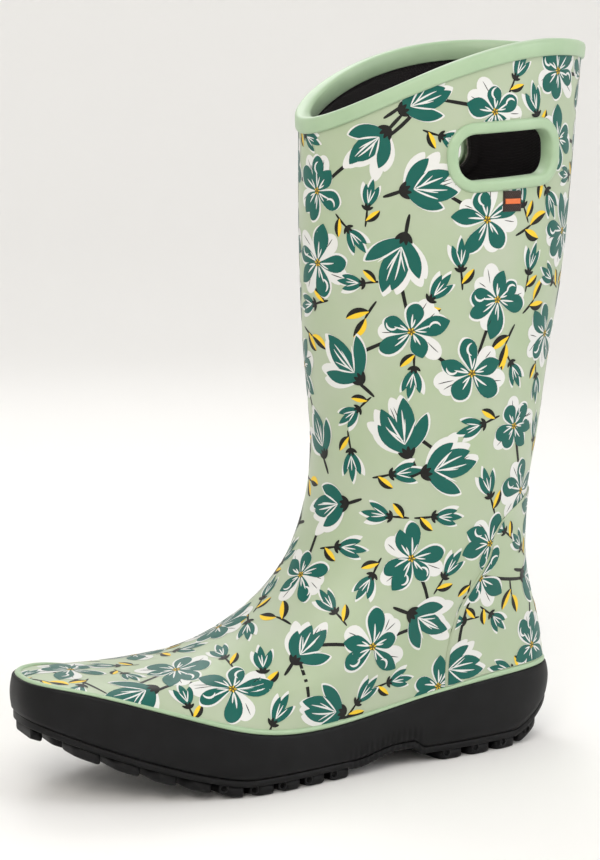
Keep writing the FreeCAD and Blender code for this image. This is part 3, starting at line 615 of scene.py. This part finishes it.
def makeSlab():
    # rounded box section at each station: flat under the slab, its sides on the sole's plan
    t = np.linspace(0, np.pi, slab["stations"])
    grow = slab["grow"]
    x = (form["toeX"] - grow + (footLength + 2 * grow) * (1 - np.cos(t)) / 2)[:, None]
    turn = (np.arange(slab["around"]) * 2 * np.pi / slab["around"])[None, :]
    sharp = 2 / slab["squareness"]
    across = np.sign(np.cos(turn)) * np.abs(np.cos(turn)) ** sharp
    rise = np.sign(np.sin(turn)) * np.abs(np.sin(turn)) ** sharp
    arched = smoothStep(x, sole["ballEnd"], sole["ballEnd"] + slab["archEdge"])
    arched = arched * (1 - smoothStep(x, sole["breast"] - slab["archEdge"], sole["breast"]))
    under = treadLine(x) + sole["lug"] + arched * (sole["archRise"] * waist(x) - slab["archSink"])
    over = slabTop(x)
    ribs = sole["ribDepth"] * arched * (0.5 + 0.5 * np.cos(2 * np.pi * x / sole["ribPitch"]))
    half = np.where(across < 0, halfAt(x, -1, grow), halfAt(x, 1, grow)) + ribs
    points = toFrame(x, across * half, (under + over) / 2 + rise * (over - under) / 2)
    piece = loopPiece("outsole_slab", points, soleRubber, wrapRows=False)
    return settle(piece, "black_rubber", "arch_plate")


sidewall = {"columns": 860, "foot": 0.7, "bulge": 2.4, "rows": 14, "top": 0.96, "ribShare": 0.32, "sink": 0.3,
            "archEdge": (4.0, 6.0),
            # the lip and the hidden back: out from the plan, share of the height, lift
            "lip": [(0.95, 1.0, -0.35), (0.6, 1.0, 0.0), (0.1, 1.0, 0.1), (-1.2, 1.0, -0.1),
                    (-1.2, 0.0, 0.0)]}


def makeSidewall():
    # soft bulge between the outsole and the band line, with a rounded lip against the shell
    angle = np.arange(sidewall["columns"]) * 2 * np.pi / sidewall["columns"]
    n = sole["corners"]
    rho = (np.abs(np.cos(angle)) ** n + np.abs(np.sin(angle)) ** n) ** (-1 / n)
    s = (1 + np.cos(angle) * rho) / 2
    half = np.where(np.sin(angle) > 0, outerHalf(s), innerHalf(s))
    foot, bulge = sidewall["foot"], sidewall["bulge"]
    section = [(foot + (bulge - foot) * math.sin(math.pi * (0.15 + 0.78 * u)), u, 0.0)
               for u in np.linspace(0.0, sidewall["top"], sidewall["rows"])]
    section[0] = (0.55, 0.0, 0.0)
    section += sidewall["lip"]
    rows = []
    for grow, share, lift in section:
        x = form["toeX"] - grow + (footLength + 2 * grow) * s
        ball, breast = sidewall["archEdge"]
        arched = smoothStep(x, sole["ballEnd"] - ball, sole["ballEnd"] + ball)
        arched = arched * (1 - smoothStep(x, sole["breast"] - breast, sole["breast"]))
        if 0 < share < sidewall["ribShare"]:
            grow = grow + sole["ribDepth"] * arched * np.cos(2 * np.pi * x / sole["ribPitch"])
        low, high = slabTop(x) - sidewall["sink"], bandLine(x)
        rows.append(toFrame(x, -(half + grow) * np.sin(angle) * rho, low + (high - low) * share + lift))
    return settle(loopPiece("sole_sidewall", np.array(rows), soleRubber), "black_rubber", "sidewall")


lugs = {"columns": 36, "gap": 3.6, "skew": 0.22, "edge": 12.6, "middle": 10.6, "inset": -0.4,
        "reach": (-139.5, 140.5), "cornerPower": 5, "sideShift": 3.0, "narrowest": 4.0, "root": 0.6,
        "foreStart": -146.0, "forePitch": 15.2, "heelEnd": 146.0, "heelPitch": 17.6,
        # outline scale and share of the lug's height, from the slab down to the ground
        "profile": [(0.0, 0.0), (1.0, 0.0), (1.0, 0.55), (0.985, 0.8), (0.95, 0.93), (0.88, 1.0),
                    (0.5, 1.0), (0.0, 1.0)]}


def makeLugs(name, start, end, pitch, node):
    # rows of rounded blocks whose outer ends follow the sole's edge
    turn = np.arange(lugs["columns"]) * 2 * np.pi / lugs["columns"]
    n = lugs["cornerPower"]
    corner = (np.abs(np.cos(turn)) ** n + np.abs(np.sin(turn)) ** n) ** (-1 / n)
    a, b = np.cos(turn) * corner, np.sin(turn) * corner
    scale = np.array([p[0] for p in lugs["profile"]])[:, None]
    drop = np.array([p[1] for p in lugs["profile"]])[:, None]
    points, quads = [], []
    cell = gridQuads(len(lugs["profile"]), lugs["columns"], False, True)
    for k in range(int((end - start) / pitch)):
        for side in (-1, 0, 1):
            centre = start + pitch * (k + 0.5) + lugs["sideShift"] * abs(side)
            halfLength = (pitch - lugs["gap"]) / 2
            ends = np.clip(centre + halfLength * np.array([-1.0, 1.0]), *lugs["reach"])
            width = float(halfAt(ends, side, lugs["inset"]).min())
            if side and width < lugs["edge"] + lugs["narrowest"]:
                continue
            x = centre + a * scale * halfLength
            if side:
                x = x + lugs["skew"] * (b * scale + 1) * (width - lugs["edge"]) / 2
            x = np.clip(x, *lugs["reach"])
            outer = halfAt(x, side, lugs["inset"])
            if side:
                y = side * (lugs["edge"] + (b * scale + 1) / 2 * np.maximum(outer - lugs["edge"], 0.5))
            else:
                y = b * scale * np.minimum(lugs["middle"], outer)
            z = treadLine(x) + (sole["lug"] + lugs["root"]) * (1 - drop)
            quads.append(cell + len(points) * lugs["columns"] * len(lugs["profile"]))
            points.append(toFrame(x, y, z))
    piece = buildMesh(name, np.array(points), np.concatenate(quads), soleRubber, closed=True)
    return settle(piece, "black_rubber", node)


lugRing = {"radius": 1.9, "tube": 0.55, "up": 3.9, "steps": 22, "tubeSteps": 8,
           "foreStart": -58.0, "foreCount": 5, "heelStart": 70.0, "heelCount": 4}


def makeLugRings(name, stations):
    # small raised rings on the outer faces of the side lugs: a circle carried round a circle
    t = (np.arange(lugRing["steps"]) * 2 * np.pi / lugRing["steps"])[:, None]
    p = (np.arange(lugRing["tubeSteps"]) * 2 * np.pi / lugRing["tubeSteps"])[None, :]
    reach = lugRing["radius"] + lugRing["tube"] * np.cos(p)
    points, quads = [], []
    cell = gridQuads(lugRing["steps"], lugRing["tubeSteps"], True, True)
    for station in stations:
        for side in (-1, 1):
            x = station + reach * np.cos(t)
            z = treadLine(station) + lugRing["up"] + reach * np.sin(t)
            y = side * (halfAt(x, side, 0.0) + lugRing["tube"] * np.sin(p))
            quads.append(cell + len(points) * lugRing["steps"] * lugRing["tubeSteps"])
            points.append(toFrame(x, y, z))
    piece = buildMesh(name, np.array(points), np.concatenate(quads), soleRubber, closed=True)
    return settle(piece, "black_rubber")


footbed = {"toe": -121.0, "heel": 120.0, "side": 9.0, "lift": 0.6, "thick": 4.8, "roundness": 0.5,
           "corners": 2.5, "cup": 5.0, "cupStart": 10.0, "cupEnd": 80.0, "cupPower": 4, "cupFoot": 0.35,
           "stations": 160, "around": 40}


def makeFootbed():
    # thin pad on the board whose rim rises into a cup round the heel
    t = np.linspace(0, np.pi, footbed["stations"])
    x = (footbed["toe"] + (footbed["heel"] - footbed["toe"]) * (1 - np.cos(t)) / 2)[:, None]
    turn = (np.arange(footbed["around"]) * 2 * np.pi / footbed["around"])[None, :]
    across = np.sign(np.cos(turn)) * np.abs(np.cos(turn)) ** footbed["roundness"]
    rise = np.sign(np.sin(turn)) * np.abs(np.sin(turn)) ** footbed["roundness"]
    s = (x - footbed["toe"]) / (footbed["heel"] - footbed["toe"])
    plan = (1 - np.abs(2 * s - 1) ** footbed["corners"]) ** (1 / footbed["corners"])
    half = np.where(across < 0, outerHalf(s), innerHalf(s)) - footbed["side"]
    cup = footbed["cup"] * smoothStep(x, footbed["cupStart"], footbed["cupEnd"])
    cup = cup * np.abs(across) ** footbed["cupPower"]
    low, up = soleFloor(x) + footbed["lift"], (rise + 1) / 2
    z = low + footbed["thick"] * up + cup * (footbed["cupFoot"] + (1 - footbed["cupFoot"]) * up)
    piece = loopPiece("footbed_insert", toFrame(x, across * half * plan, z), coverKnit, wrapRows=False)
    settle(piece, "footbed_textile", "footbed_foam", "footbed_cover", body="footbed")


makeShell()
makeOverlay()
makePiping()
makeBinding()
makePullFrame(-1)
makePullFrame(1)
makeTab()
makeSlab()
makeSidewall()
makeLugs("forefoot_lugs", lugs["foreStart"], sole["ballEnd"], lugs["forePitch"], "outsole_forefoot")
makeLugs("heel_lugs", sole["breast"], lugs["heelEnd"], lugs["heelPitch"], "outsole_heel")
makeLugRings("forefoot_lug_rings", lugRing["foreStart"] + lugs["forePitch"] * np.arange(lugRing["foreCount"]))
makeLugRings("heel_lug_rings", lugRing["heelStart"] + lugs["heelPitch"] * np.arange(lugRing["heelCount"]))
makeFootbed()
print("shell, trim and sole made")

# The print: brush-drawn blossoms, buds and split leaves on branches, all in millimetres.
artwork = {"seed": 41, "flowerGap": 31.0, "budGap": 19.0, "leafGap": 14.0,
           "besideFlower": 22.0, "besideBud": 15.0, "rows": 14, "columns": 5,
           "low": 0.004, "high": 0.992, "flowerLow": 0.02, "flowerHigh": 0.975, "candidates": 9000,
           "scale": (0.95, 1.12), "branchReach": 50.0, "branchWidth": 1.8, "branchBend": 0.7,
           "stackCount": 7, "stackStep": 0.0015}
# each layer's height above the rubber (mm) and its ink
inks = {"branch": (0.06, "black"), "leafDark": (0.08, "black"), "leafPale": (0.085, "yellow"),
        "shadow": (0.11, "white"), "shadowVein": (0.13, "black"), "petal": (0.145, "teal"),
        "vein": (0.17, "white"), "calyx": (0.18, "black"), "eye": (0.19, "olive"), "spark": (0.205, "yellow")}
inkMaterial = {"black": inkBlack, "yellow": inkYellow, "white": inkWhite, "teal": inkTeal, "olive": inkOlive}


def strokes(x, y, heading, length, width, bend=0.0, peak=1.0, blunt=0.6, left=-1.0, right=1.0):
    # brush strokes: an axis that turns evenly by bend, its half width the sine of the share along it
    x, y, heading, length, width, bend = [np.atleast_1d(np.asarray(v, float)) for v in
                                          np.broadcast_arrays(x, y, heading, length, width, bend)]
    share = (1 - np.cos(np.linspace(0, np.pi, artwork["rows"]))) / 2
    direction = heading[:, None] + bend[:, None] * share
    middle = (direction[:, 1:] + direction[:, :-1]) / 2
    step = length[:, None] * np.diff(share)
    start = np.zeros((len(x), 1))
    axisX = x[:, None] + np.concatenate([start, np.cumsum(np.cos(middle) * step, axis=1)], axis=1)
    axisY = y[:, None] + np.concatenate([start, np.cumsum(np.sin(middle) * step, axis=1)], axis=1)
    half = width[:, None] / 2 * np.maximum(np.sin(np.pi * share ** peak), 0.0) ** blunt
    side = np.linspace(left, right, artwork["columns"])
    px = axisX[..., None] - np.sin(direction)[..., None] * half[..., None] * side
    py = axisY[..., None] + np.cos(direction)[..., None] * half[..., None] * side
    return np.stack([px, py], axis=-1)


def openFlower(draw):
    # uneven petals round an eye, a few pale petals turned between them, white brush lines
    count = int(draw.integers(5, 7))
    turn = np.arange(count) * 2 * np.pi / count + draw.uniform(-0.24, 0.24, count)
    reach = draw.uniform(12.0, 17.5, count)
    width = draw.uniform(7.0, 9.6, count)
    bend = draw.uniform(-0.6, 0.6, count)
    pale = draw.permutation(count)[:4]
    sharp = draw.permutation(count)[:2]
    blunt = np.setdiff1d(np.arange(count), sharp)
    paleTurn = turn[pale] + draw.uniform(0.3, 0.55, 4) * draw.choice([-1, 1], 4)
    paleReach = draw.uniform(15.0, 19.0, 4)
    curl = draw.permutation(count)[:2]
    tipX, tipY = np.cos(turn[curl]) * reach[curl] * 0.5, np.sin(turn[curl]) * reach[curl] * 0.5
    spark = np.arange(5) * 2 * np.pi / 5 + draw.uniform(0, 1)
    return [("shadow", strokes(0, 0, paleTurn, paleReach, 8.8, bend[pale], 1.9, 0.5)),
            ("shadow", strokes(0, 0, turn + 0.05, reach + 0.9, width + 1.0, bend, 1.5, 0.6)),
            ("shadowVein", strokes(np.cos(paleTurn) * 9, np.sin(paleTurn) * 9, paleTurn + bend[pale] * 0.6,
                                   paleReach - 11, 0.42, 0.1)),
            ("petal", strokes(0, 0, turn[blunt], reach[blunt], width[blunt], bend[blunt], 1.75, 0.55)),
            ("petal", strokes(0, 0, turn[sharp], reach[sharp] * 1.12, width[sharp], bend[sharp], 1.3, 0.85)),
            ("vein", strokes(np.cos(turn) * 1.5, np.sin(turn) * 1.5, turn + 0.1, reach * 0.5, 0.85,
                             bend * 0.5)),
            ("vein", strokes(np.cos(turn) * 1.8, np.sin(turn) * 1.8, turn - 0.4, reach * 0.32, 0.7, 0.2)),
            ("vein", strokes(tipX, tipY, turn[curl] + 1.3, 7.5, 1.1, -2.7)),
            ("eye", strokes(-1.7, 0, 0.0, 3.4, 3.2, 0.0, 1.0, 0.5)),
            ("spark", strokes(np.cos(spark) * 0.6, np.sin(spark) * 0.6, spark, 1.4, 0.5))]


def sideBlossom(draw):
    # long petals that spread from a dark calyx, pale petals between and behind them
    fan = np.array([-0.78, -0.24, 0.26, 0.8]) + draw.uniform(-0.1, 0.1, 4)
    reach = np.array([19.5, 25.0, 23.0, 18.5]) * draw.uniform(0.9, 1.06)
    width = np.array([6.2, 8.0, 7.6, 6.0])
    bend = np.array([0.35, 0.3, -0.3, -0.3]) + draw.uniform(-0.2, 0.2, 4)
    base = -12.0
    paleX, paleY = np.array([base + 7, base + 4]), np.array([-1.0, 1.5])
    paleTurn = np.array([-0.05, 0.62])
    return [("shadow", strokes(base, 0.3, fan * 1.1 + 0.06, reach * 1.06, width + 0.8, bend, 1.3, 0.68)),
            ("shadow", strokes(paleX, paleY, paleTurn, np.array([19.5, 19.0]), 6.6, 0.15, 1.5, 0.6)),
            ("petal", strokes(base, 0, fan, reach, width, bend, 1.25, 0.78)),
            ("shadow", strokes(base + 9, -0.4, -0.03, 15.5, 5.6, 0.12, 1.3, 0.62)),
            ("shadowVein", strokes(base + 14, np.array([-1.0, 0.5]), 0.02, 8.0, 0.4, 0.1)),
            ("vein", strokes(base + 4.5, 0, fan * 0.92, reach * 0.62, 0.85, bend * 0.7)),
            ("vein", strokes(base + 6, 0, fan[1:3] * 1.6, reach[1:3] * 0.4, 0.6, 0.2)),
            ("branch", strokes(base - 10.0, draw.uniform(-2, 2), 0.05, 12.0, 1.7, 0.15, 0.8, 0.4)),
            ("calyx", strokes(base - 2.0, 0, np.array([-0.75, -0.2, 0.3, 0.8]), 5.6, 2.2, 0.0, 0.9, 0.6))]


def bud(draw):
    # three narrow petals with white lights on a short twig with a split leaf
    fan = np.array([-0.4, 0.02, 0.44]) + draw.uniform(-0.07, 0.07, 3)
    bend = np.array([0.2, 0.0, -0.2])
    base = -4.5
    length = np.array([12.2, 14.6, 12.0])
    return [("shadow", strokes(base + 0.6, 0.5, fan * 1.25, length + 0.6, 3.8, bend, 1.1, 0.7)),
            ("petal", strokes(base, 0, fan, length, 3.6, bend, 1.1, 0.75)),
            ("vein", strokes(base + 2.4, 0, fan * 0.9, 7.0, 0.6, bend * 0.6)),
            ("branch", strokes(base - 9.5, -1.2, 0.05, 10.5, 1.2, 0.18, 0.8, 0.4)),
            ("calyx", strokes(base - 1.2, 0, np.array([-0.9, -0.3, 0.35, 1.0]), 3.8, 1.5, 0.0, 1.0, 0.6)),
            ("leafDark", strokes(base - 6.5, -0.8, -0.95, 9.0, 4.0, 0.5, 1.0, 0.7, -1.0, 0.1)),
            ("leafPale", strokes(base - 6.5, -0.8, -0.95, 9.0, 4.0, 0.5, 1.0, 0.7, 0.0, 1.0))]


def leafPair(draw):
    # two split leaves, one half dark and one half yellow, on a forked twig
    turn = np.array([0.5, -0.75]) + draw.uniform(-0.25, 0.25, 2)
    startX, startY = np.array([0.5, -3.0]), np.array([0.4, -0.6])
    reach, bend = draw.uniform(9.5, 12.5, 2), np.array([-0.55, 0.6])
    return [("branch", strokes(-9.0, -1.5, 0.1, 11.0, 1.3, 0.2, 0.8, 0.4)),
            ("leafDark", strokes(startX, startY, turn, reach, 4.8, bend, 1.0, 0.72, -1.0, 0.05)),
            ("leafPale", strokes(startX, startY, turn, reach, 4.8, bend, 1.0, 0.72, 0.0, 1.0))]


def scatter(draw, gap, taken, gaps, region):
    # places on the form, evenly by area, at least gap (mm) apart and clear of what is already there
    angle = draw.uniform(0, 2 * np.pi, artwork["candidates"])
    level = draw.uniform(0.0, 1.0, artwork["candidates"])
    point, around, up = sampleForm(angle, level)
    area = np.linalg.norm(np.cross(around, up), axis=-1)
    chosen = (draw.uniform(0, 1, len(angle)) < area / area.max()) & region(point, level)
    found = []
    for k in np.nonzero(chosen)[0]:
        near = [np.linalg.norm(point[k] - p) < (gap if g is None else g) * mm for p, g in taken]
        if not any(near):
            taken.append((point[k], gaps))
            found.append((angle[k], level[k]))
    return np.array(found).reshape(-1, 2)


def wrapOnto(angle, level, flat):
    # lays flat points (mm) on the form: from the tangent plane at the anchor to the nearest surface point
    point, around, up = sampleForm(angle, level)
    normal, rise = unit(np.cross(up, around)), unit(up)
    along = np.cross(rise, normal)
    goal = point[:, None] + along[:, None] * flat[..., :1] * mm + rise[:, None] * flat[..., 1:] * mm
    a = np.repeat(angle[:, None], flat.shape[1], axis=1)
    v = np.repeat(level[:, None], flat.shape[1], axis=1)
    for step in range(search["wrapSteps"]):
        here, da, dv = sampleForm(a, v)
        rest = goal - here
        aa, vv, av = (da * da).sum(-1), (dv * dv).sum(-1), (da * dv).sum(-1)
        ra, rv = (rest * da).sum(-1), (rest * dv).sum(-1)
        spread = np.maximum(aa * vv - av * av, 1e-12)
        turn, climb = (ra * vv - rv * av) / spread, (rv * aa - ra * av) / spread
        a = a + np.clip(turn, -search["wrapTurn"], search["wrapTurn"])
        v = np.clip(v + np.clip(climb, -search["wrapRise"], search["wrapRise"]), -0.05, 1.05)
    return a, v


def turned(flat, turn, scale):
    # flat points turned about the motif's middle and scaled
    c, s = np.cos(turn) * scale, np.sin(turn) * scale
    return np.stack([flat[..., 0] * c - flat[..., 1] * s, flat[..., 0] * s + flat[..., 1] * c], axis=-1)


def joinFlowers(draw, places):
    # branches between neighbouring flowers: tapering strokes with a gentle bend
    if len(places) < 2:
        return []
    point = sampleForm(places[:, 0], places[:, 1])[0]
    gap = np.linalg.norm(point[:, None] - point[None, :], axis=-1)
    np.fill_diagonal(gap, 1.0)      # a metre: farther than any neighbour
    made, seen = [], set()
    for i in range(len(places)):
        j = int(np.argmin(gap[i]))
        pair = (min(i, j), max(i, j))
        turnGap = (places[j, 0] - places[i, 0] + np.pi) % (2 * np.pi) - np.pi
        if pair in seen or gap[i, j] > artwork["branchReach"] * mm:
            continue
        seen.add(pair)
        anchor = np.array([places[i, 0] + turnGap / 2, (places[i, 1] + places[j, 1]) / 2])
        middle, around, up = sampleForm(anchor[:1], anchor[1:])
        rise = unit(up)[0]
        along = np.cross(rise, unit(np.cross(up, around))[0])
        offset = (point[j] - point[i]) / mm
        dx, dy = float(offset @ along), float(offset @ rise)
        bend = draw.uniform(-artwork["branchBend"], artwork["branchBend"])
        length = math.hypot(dx, dy) * (1 + bend * bend / 24)
        heading = math.atan2(dy, dx) - bend / 2
        flat = strokes(-dx / 2, -dy / 2, heading, length, artwork["branchWidth"], bend, 0.7, 0.35)
        made.append((anchor, flat))
    return made


def collect(store, layer, angle, level, flats):
    # adds a layer's strokes to the store as the angle and level of every point
    a, v = wrapOnto(angle, level, flats.reshape(len(angle), -1, 2))
    shape = (-1, artwork["rows"], artwork["columns"])
    store.setdefault(layer, []).append((a.reshape(shape), v.reshape(shape)))


def drawPrint(seed, region):
    # flowers first, then buds and leaves in the gaps that are left
    draw = np.random.default_rng(seed)
    taken, store = [], {}
    flowers = scatter(draw, artwork["flowerGap"], taken, None, region)
    taken = [(p, artwork["besideFlower"]) for p, g in taken]
    buds = scatter(draw, artwork["budGap"], taken, None, region)
    taken = [(p, g or artwork["besideBud"]) for p, g in taken]
    leaves = scatter(draw, artwork["leafGap"], taken, None, region)
    for anchor, flat in joinFlowers(draw, flowers):
        collect(store, "branch", anchor[:1], anchor[1:], flat)
    kinds = [(flowers[0::5], sideBlossom), (flowers[1::5], openFlower), (flowers[2::5], openFlower),
             (flowers[3::5], sideBlossom), (flowers[4::5], openFlower), (buds, bud), (leaves, leafPair)]
    for places, motif in kinds:
        for angle, level in places:
            turn, scale = draw.uniform(0, 2 * np.pi), draw.uniform(*artwork["scale"])
            for layer, flat in motif(draw):
                flats = turned(flat, turn, scale)
                collect(store, layer, np.full(len(flats), angle), np.full(len(flats), level), flats)
    print("print:", len(flowers), "flowers", len(buds), "buds", len(leaves), "leaf pairs")
    return store


def layPrint(prefix, store, lift, fit):
    # one thin sheet of strokes per ink, each ink a little above the one below
    cell = gridQuads(artwork["rows"], artwork["columns"])[:, ::-1]
    size = artwork["rows"] * artwork["columns"]
    sheets = {}
    for layer, parts in store.items():
        height, ink = inks[layer]
        a = np.concatenate([p[0] for p in parts])
        v = np.concatenate([p[1] for p in parts])
        # every stroke lies a hair above the one before it, so crossing strokes never share a plane
        order = (np.arange(len(a)) % artwork["stackCount"] * artwork["stackStep"])[:, None, None]
        a, v, keep = fit(a, v)
        points = skin(a, v, lift + height + order + np.zeros_like(a))
        sheets.setdefault(ink, []).append((points.reshape(-1, 3), keep.reshape(-1)))
    for ink, parts in sheets.items():
        points = np.concatenate([p[0] for p in parts])
        keep = np.concatenate([p[1] for p in parts])
        quads = (cell[None] + np.arange(len(points) // size)[:, None, None] * size).reshape(-1, 4)
        corner = points[quads]
        area = np.linalg.norm(np.cross(corner[:, 2] - corner[:, 0], corner[:, 3] - corner[:, 1]), axis=-1) / 2
        shown = keep[quads].all(axis=1) & (area > meshing["thinFace"])
        piece = buildMesh(prefix + "_" + ink, points, quads[shown], inkMaterial[ink])
        settle(piece, "printed_rubber")
        print(" ", piece.name, len(piece.data.polygons), "quads")


def onShell(point, level):
    # where a motif of the shell may have its middle
    inside = (level > artwork["flowerLow"]) & (level < artwork["flowerHigh"])
    return inside & clearOfSlot(point, pullSlot["flowerGap"])


def onOverlay(point, level):
    # where a motif of the heel overlay may have its middle
    front = overlayEdge(point[..., 2] / mm) - overlay["flowerReach"]
    return (point[..., 0] / mm + form["originX"] > front) & (level < overlay["flowerTop"])


def fitShell(a, v):
    # cut at the sole and the rim, and left out under the pull frames
    v = np.clip(v, artwork["low"], artwork["high"])
    return a, v, clearOfSlot(sampleForm(a, v)[0], pullSlot["printGap"])


def fitOverlay(a, v):
    # strokes that pass the overlay's front edge are cut along it
    turn = (a + np.pi) % (2 * np.pi) - np.pi
    low = levelAt(turn, 0.0, overlay["start"] + overlay["printStart"])
    v = np.clip(v, low, overlayTop - overlay["printDrop"])
    outer = np.interp(v, reachLevels, reachOuter) - overlay["printInset"]
    inner = np.interp(v, reachLevels, reachInner) - overlay["printInset"]
    return np.clip(turn, -np.maximum(inner, 0), np.maximum(outer, 0)), v, np.ones(a.shape, bool)


layPrint("shell_print", drawPrint(artwork["seed"], onShell), 0.0, fitShell)
layPrint("heel_print", drawPrint(artwork["seed"] + 1, onOverlay), overlay["out"], fitOverlay)
print("print laid")

nodeFinish = {"leg_lining": liningKnit, "foot_lining": liningKnit, "rim_tape": liningKnit,
              "back_stay": liningKnit, "handle_backing_outer": liningKnit,
              "handle_backing_inner": liningKnit, "insulation": fleeceKnit, "heel_stiffener": fibreBoard,
              "toe_puff": fibreBoard, "ankle_patch_outer": fibreBoard, "ankle_patch_inner": fibreBoard,
              "insole_board": fibreBoard, "midsole_filler": soleRubber, "heel_core": cellFoam,
              "shank": springSteel, "footbed_heel_pad": cellFoam, "arch_support": cellFoam}
for name, material in nodeFinish.items():
    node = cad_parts[name]
    if not node.material_slots:
        node.data.materials.append(material)
    for slot in node.material_slots:
        slot.material = material

studio = {"floorRadius": 1.7, "wallHeight": 3.0, "bend": 0.8, "turns": 96, "floor": "#f6f5f3", "air": 0.9,
          # name, place, aim, size, power, colour
          "lamps": [("key softbox", (-0.75, -1.05, 1.1), (0, 0, 0.17), 0.9, 9.0, "#fffaf3"),
                    ("fill softbox", (1.0, -0.9, 0.8), (0, 0, 0.17), 0.9, 5.0, "#f6f9ff"),
                    ("back softbox", (0.2, 1.1, 1.2), (0, 0, 0.2), 0.8, 5.0, "#ffffff")]}


def makeFloor():
    # pale round floor that curves up into a wall far from the boot: a profile turned about the middle
    flat = np.linspace(0.0, studio["floorRadius"], 12)
    turn = np.linspace(0, np.pi / 2, 14)[1:]
    radius = np.concatenate([flat, studio["floorRadius"] + studio["bend"] * np.sin(turn),
                             [studio["floorRadius"] + studio["bend"]]])
    height = np.concatenate([flat * 0, studio["bend"] * (1 - np.cos(turn)), [studio["wallHeight"]]])
    angle = np.arange(studio["turns"]) * 2 * np.pi / studio["turns"]
    points = np.stack([radius[:, None] * np.cos(angle), radius[:, None] * np.sin(angle),
                       np.broadcast_to(height[:, None], (len(radius), len(angle)))], axis=-1)
    paint = makeFinish("matt studio paint", studio["floor"], 0.9, [(2.0, 0.02)])
    quads = gridQuads(len(radius), len(angle), False, True)[:, ::-1]
    buildMesh("studio_floor", points, quads, paint)


def makeLight(name, place, aim, size, power, colour):
    # round soft lamp at place, turned towards aim
    lamp = bpy.data.lights.new(name, "AREA")
    lamp.shape, lamp.size, lamp.energy = "DISK", size, power
    lamp.color = hexColour(colour)[:3]
    holder = bpy.data.objects.new(name, lamp)
    bpy.context.scene.collection.objects.link(holder)
    back = np.array(place) - np.array(aim)
    holder.location = place
    holder.rotation_mode = "QUATERNION"
    holder.rotation_quaternion = Vector(-back).to_track_quat("-Z", "Y")


def makeStudio():
    # floor, even white air and three soft lamps
    makeFloor()
    air = bpy.data.worlds.new("studio air")
    air.use_nodes = True
    air.node_tree.nodes["Background"].inputs["Color"].default_value = hexColour("#ffffff")
    air.node_tree.nodes["Background"].inputs["Strength"].default_value = studio["air"]
    bpy.context.scene.world = air
    for lamp in studio["lamps"]:
        makeLight(*lamp)
    bpy.context.scene.view_settings.view_transform = "Standard"


# camera: a 102 mm lens, 1.2 m from the boot, seen from the outer toe side and a little above
shot = {"azimuth": -25.26, "elevation": 8.42, "distance": 1.2, "lens": 102.54, "sensor": 36,
        "target": (-0.00181, 0.0, 0.16606)}


def makeCamera():
    # placed on a sphere round the target, by azimuth and elevation
    a, e = math.radians(shot["azimuth"]), math.radians(shot["elevation"])
    back = Vector((math.sin(a) * math.cos(e), -math.cos(a) * math.cos(e), math.sin(e)))
    lens = bpy.data.cameras.new("studio camera")
    lens.lens, lens.sensor_width = shot["lens"], shot["sensor"]
    camera = bpy.data.objects.new("studio camera", lens)
    bpy.context.scene.collection.objects.link(camera)
    camera.location = Vector(shot["target"]) + back * shot["distance"]
    camera.rotation_mode = "QUATERNION"
    camera.rotation_quaternion = (-back).to_track_quat("-Z", "Y")
    bpy.context.scene.camera = camera


makeStudio()
makeCamera()
print("studio ready")
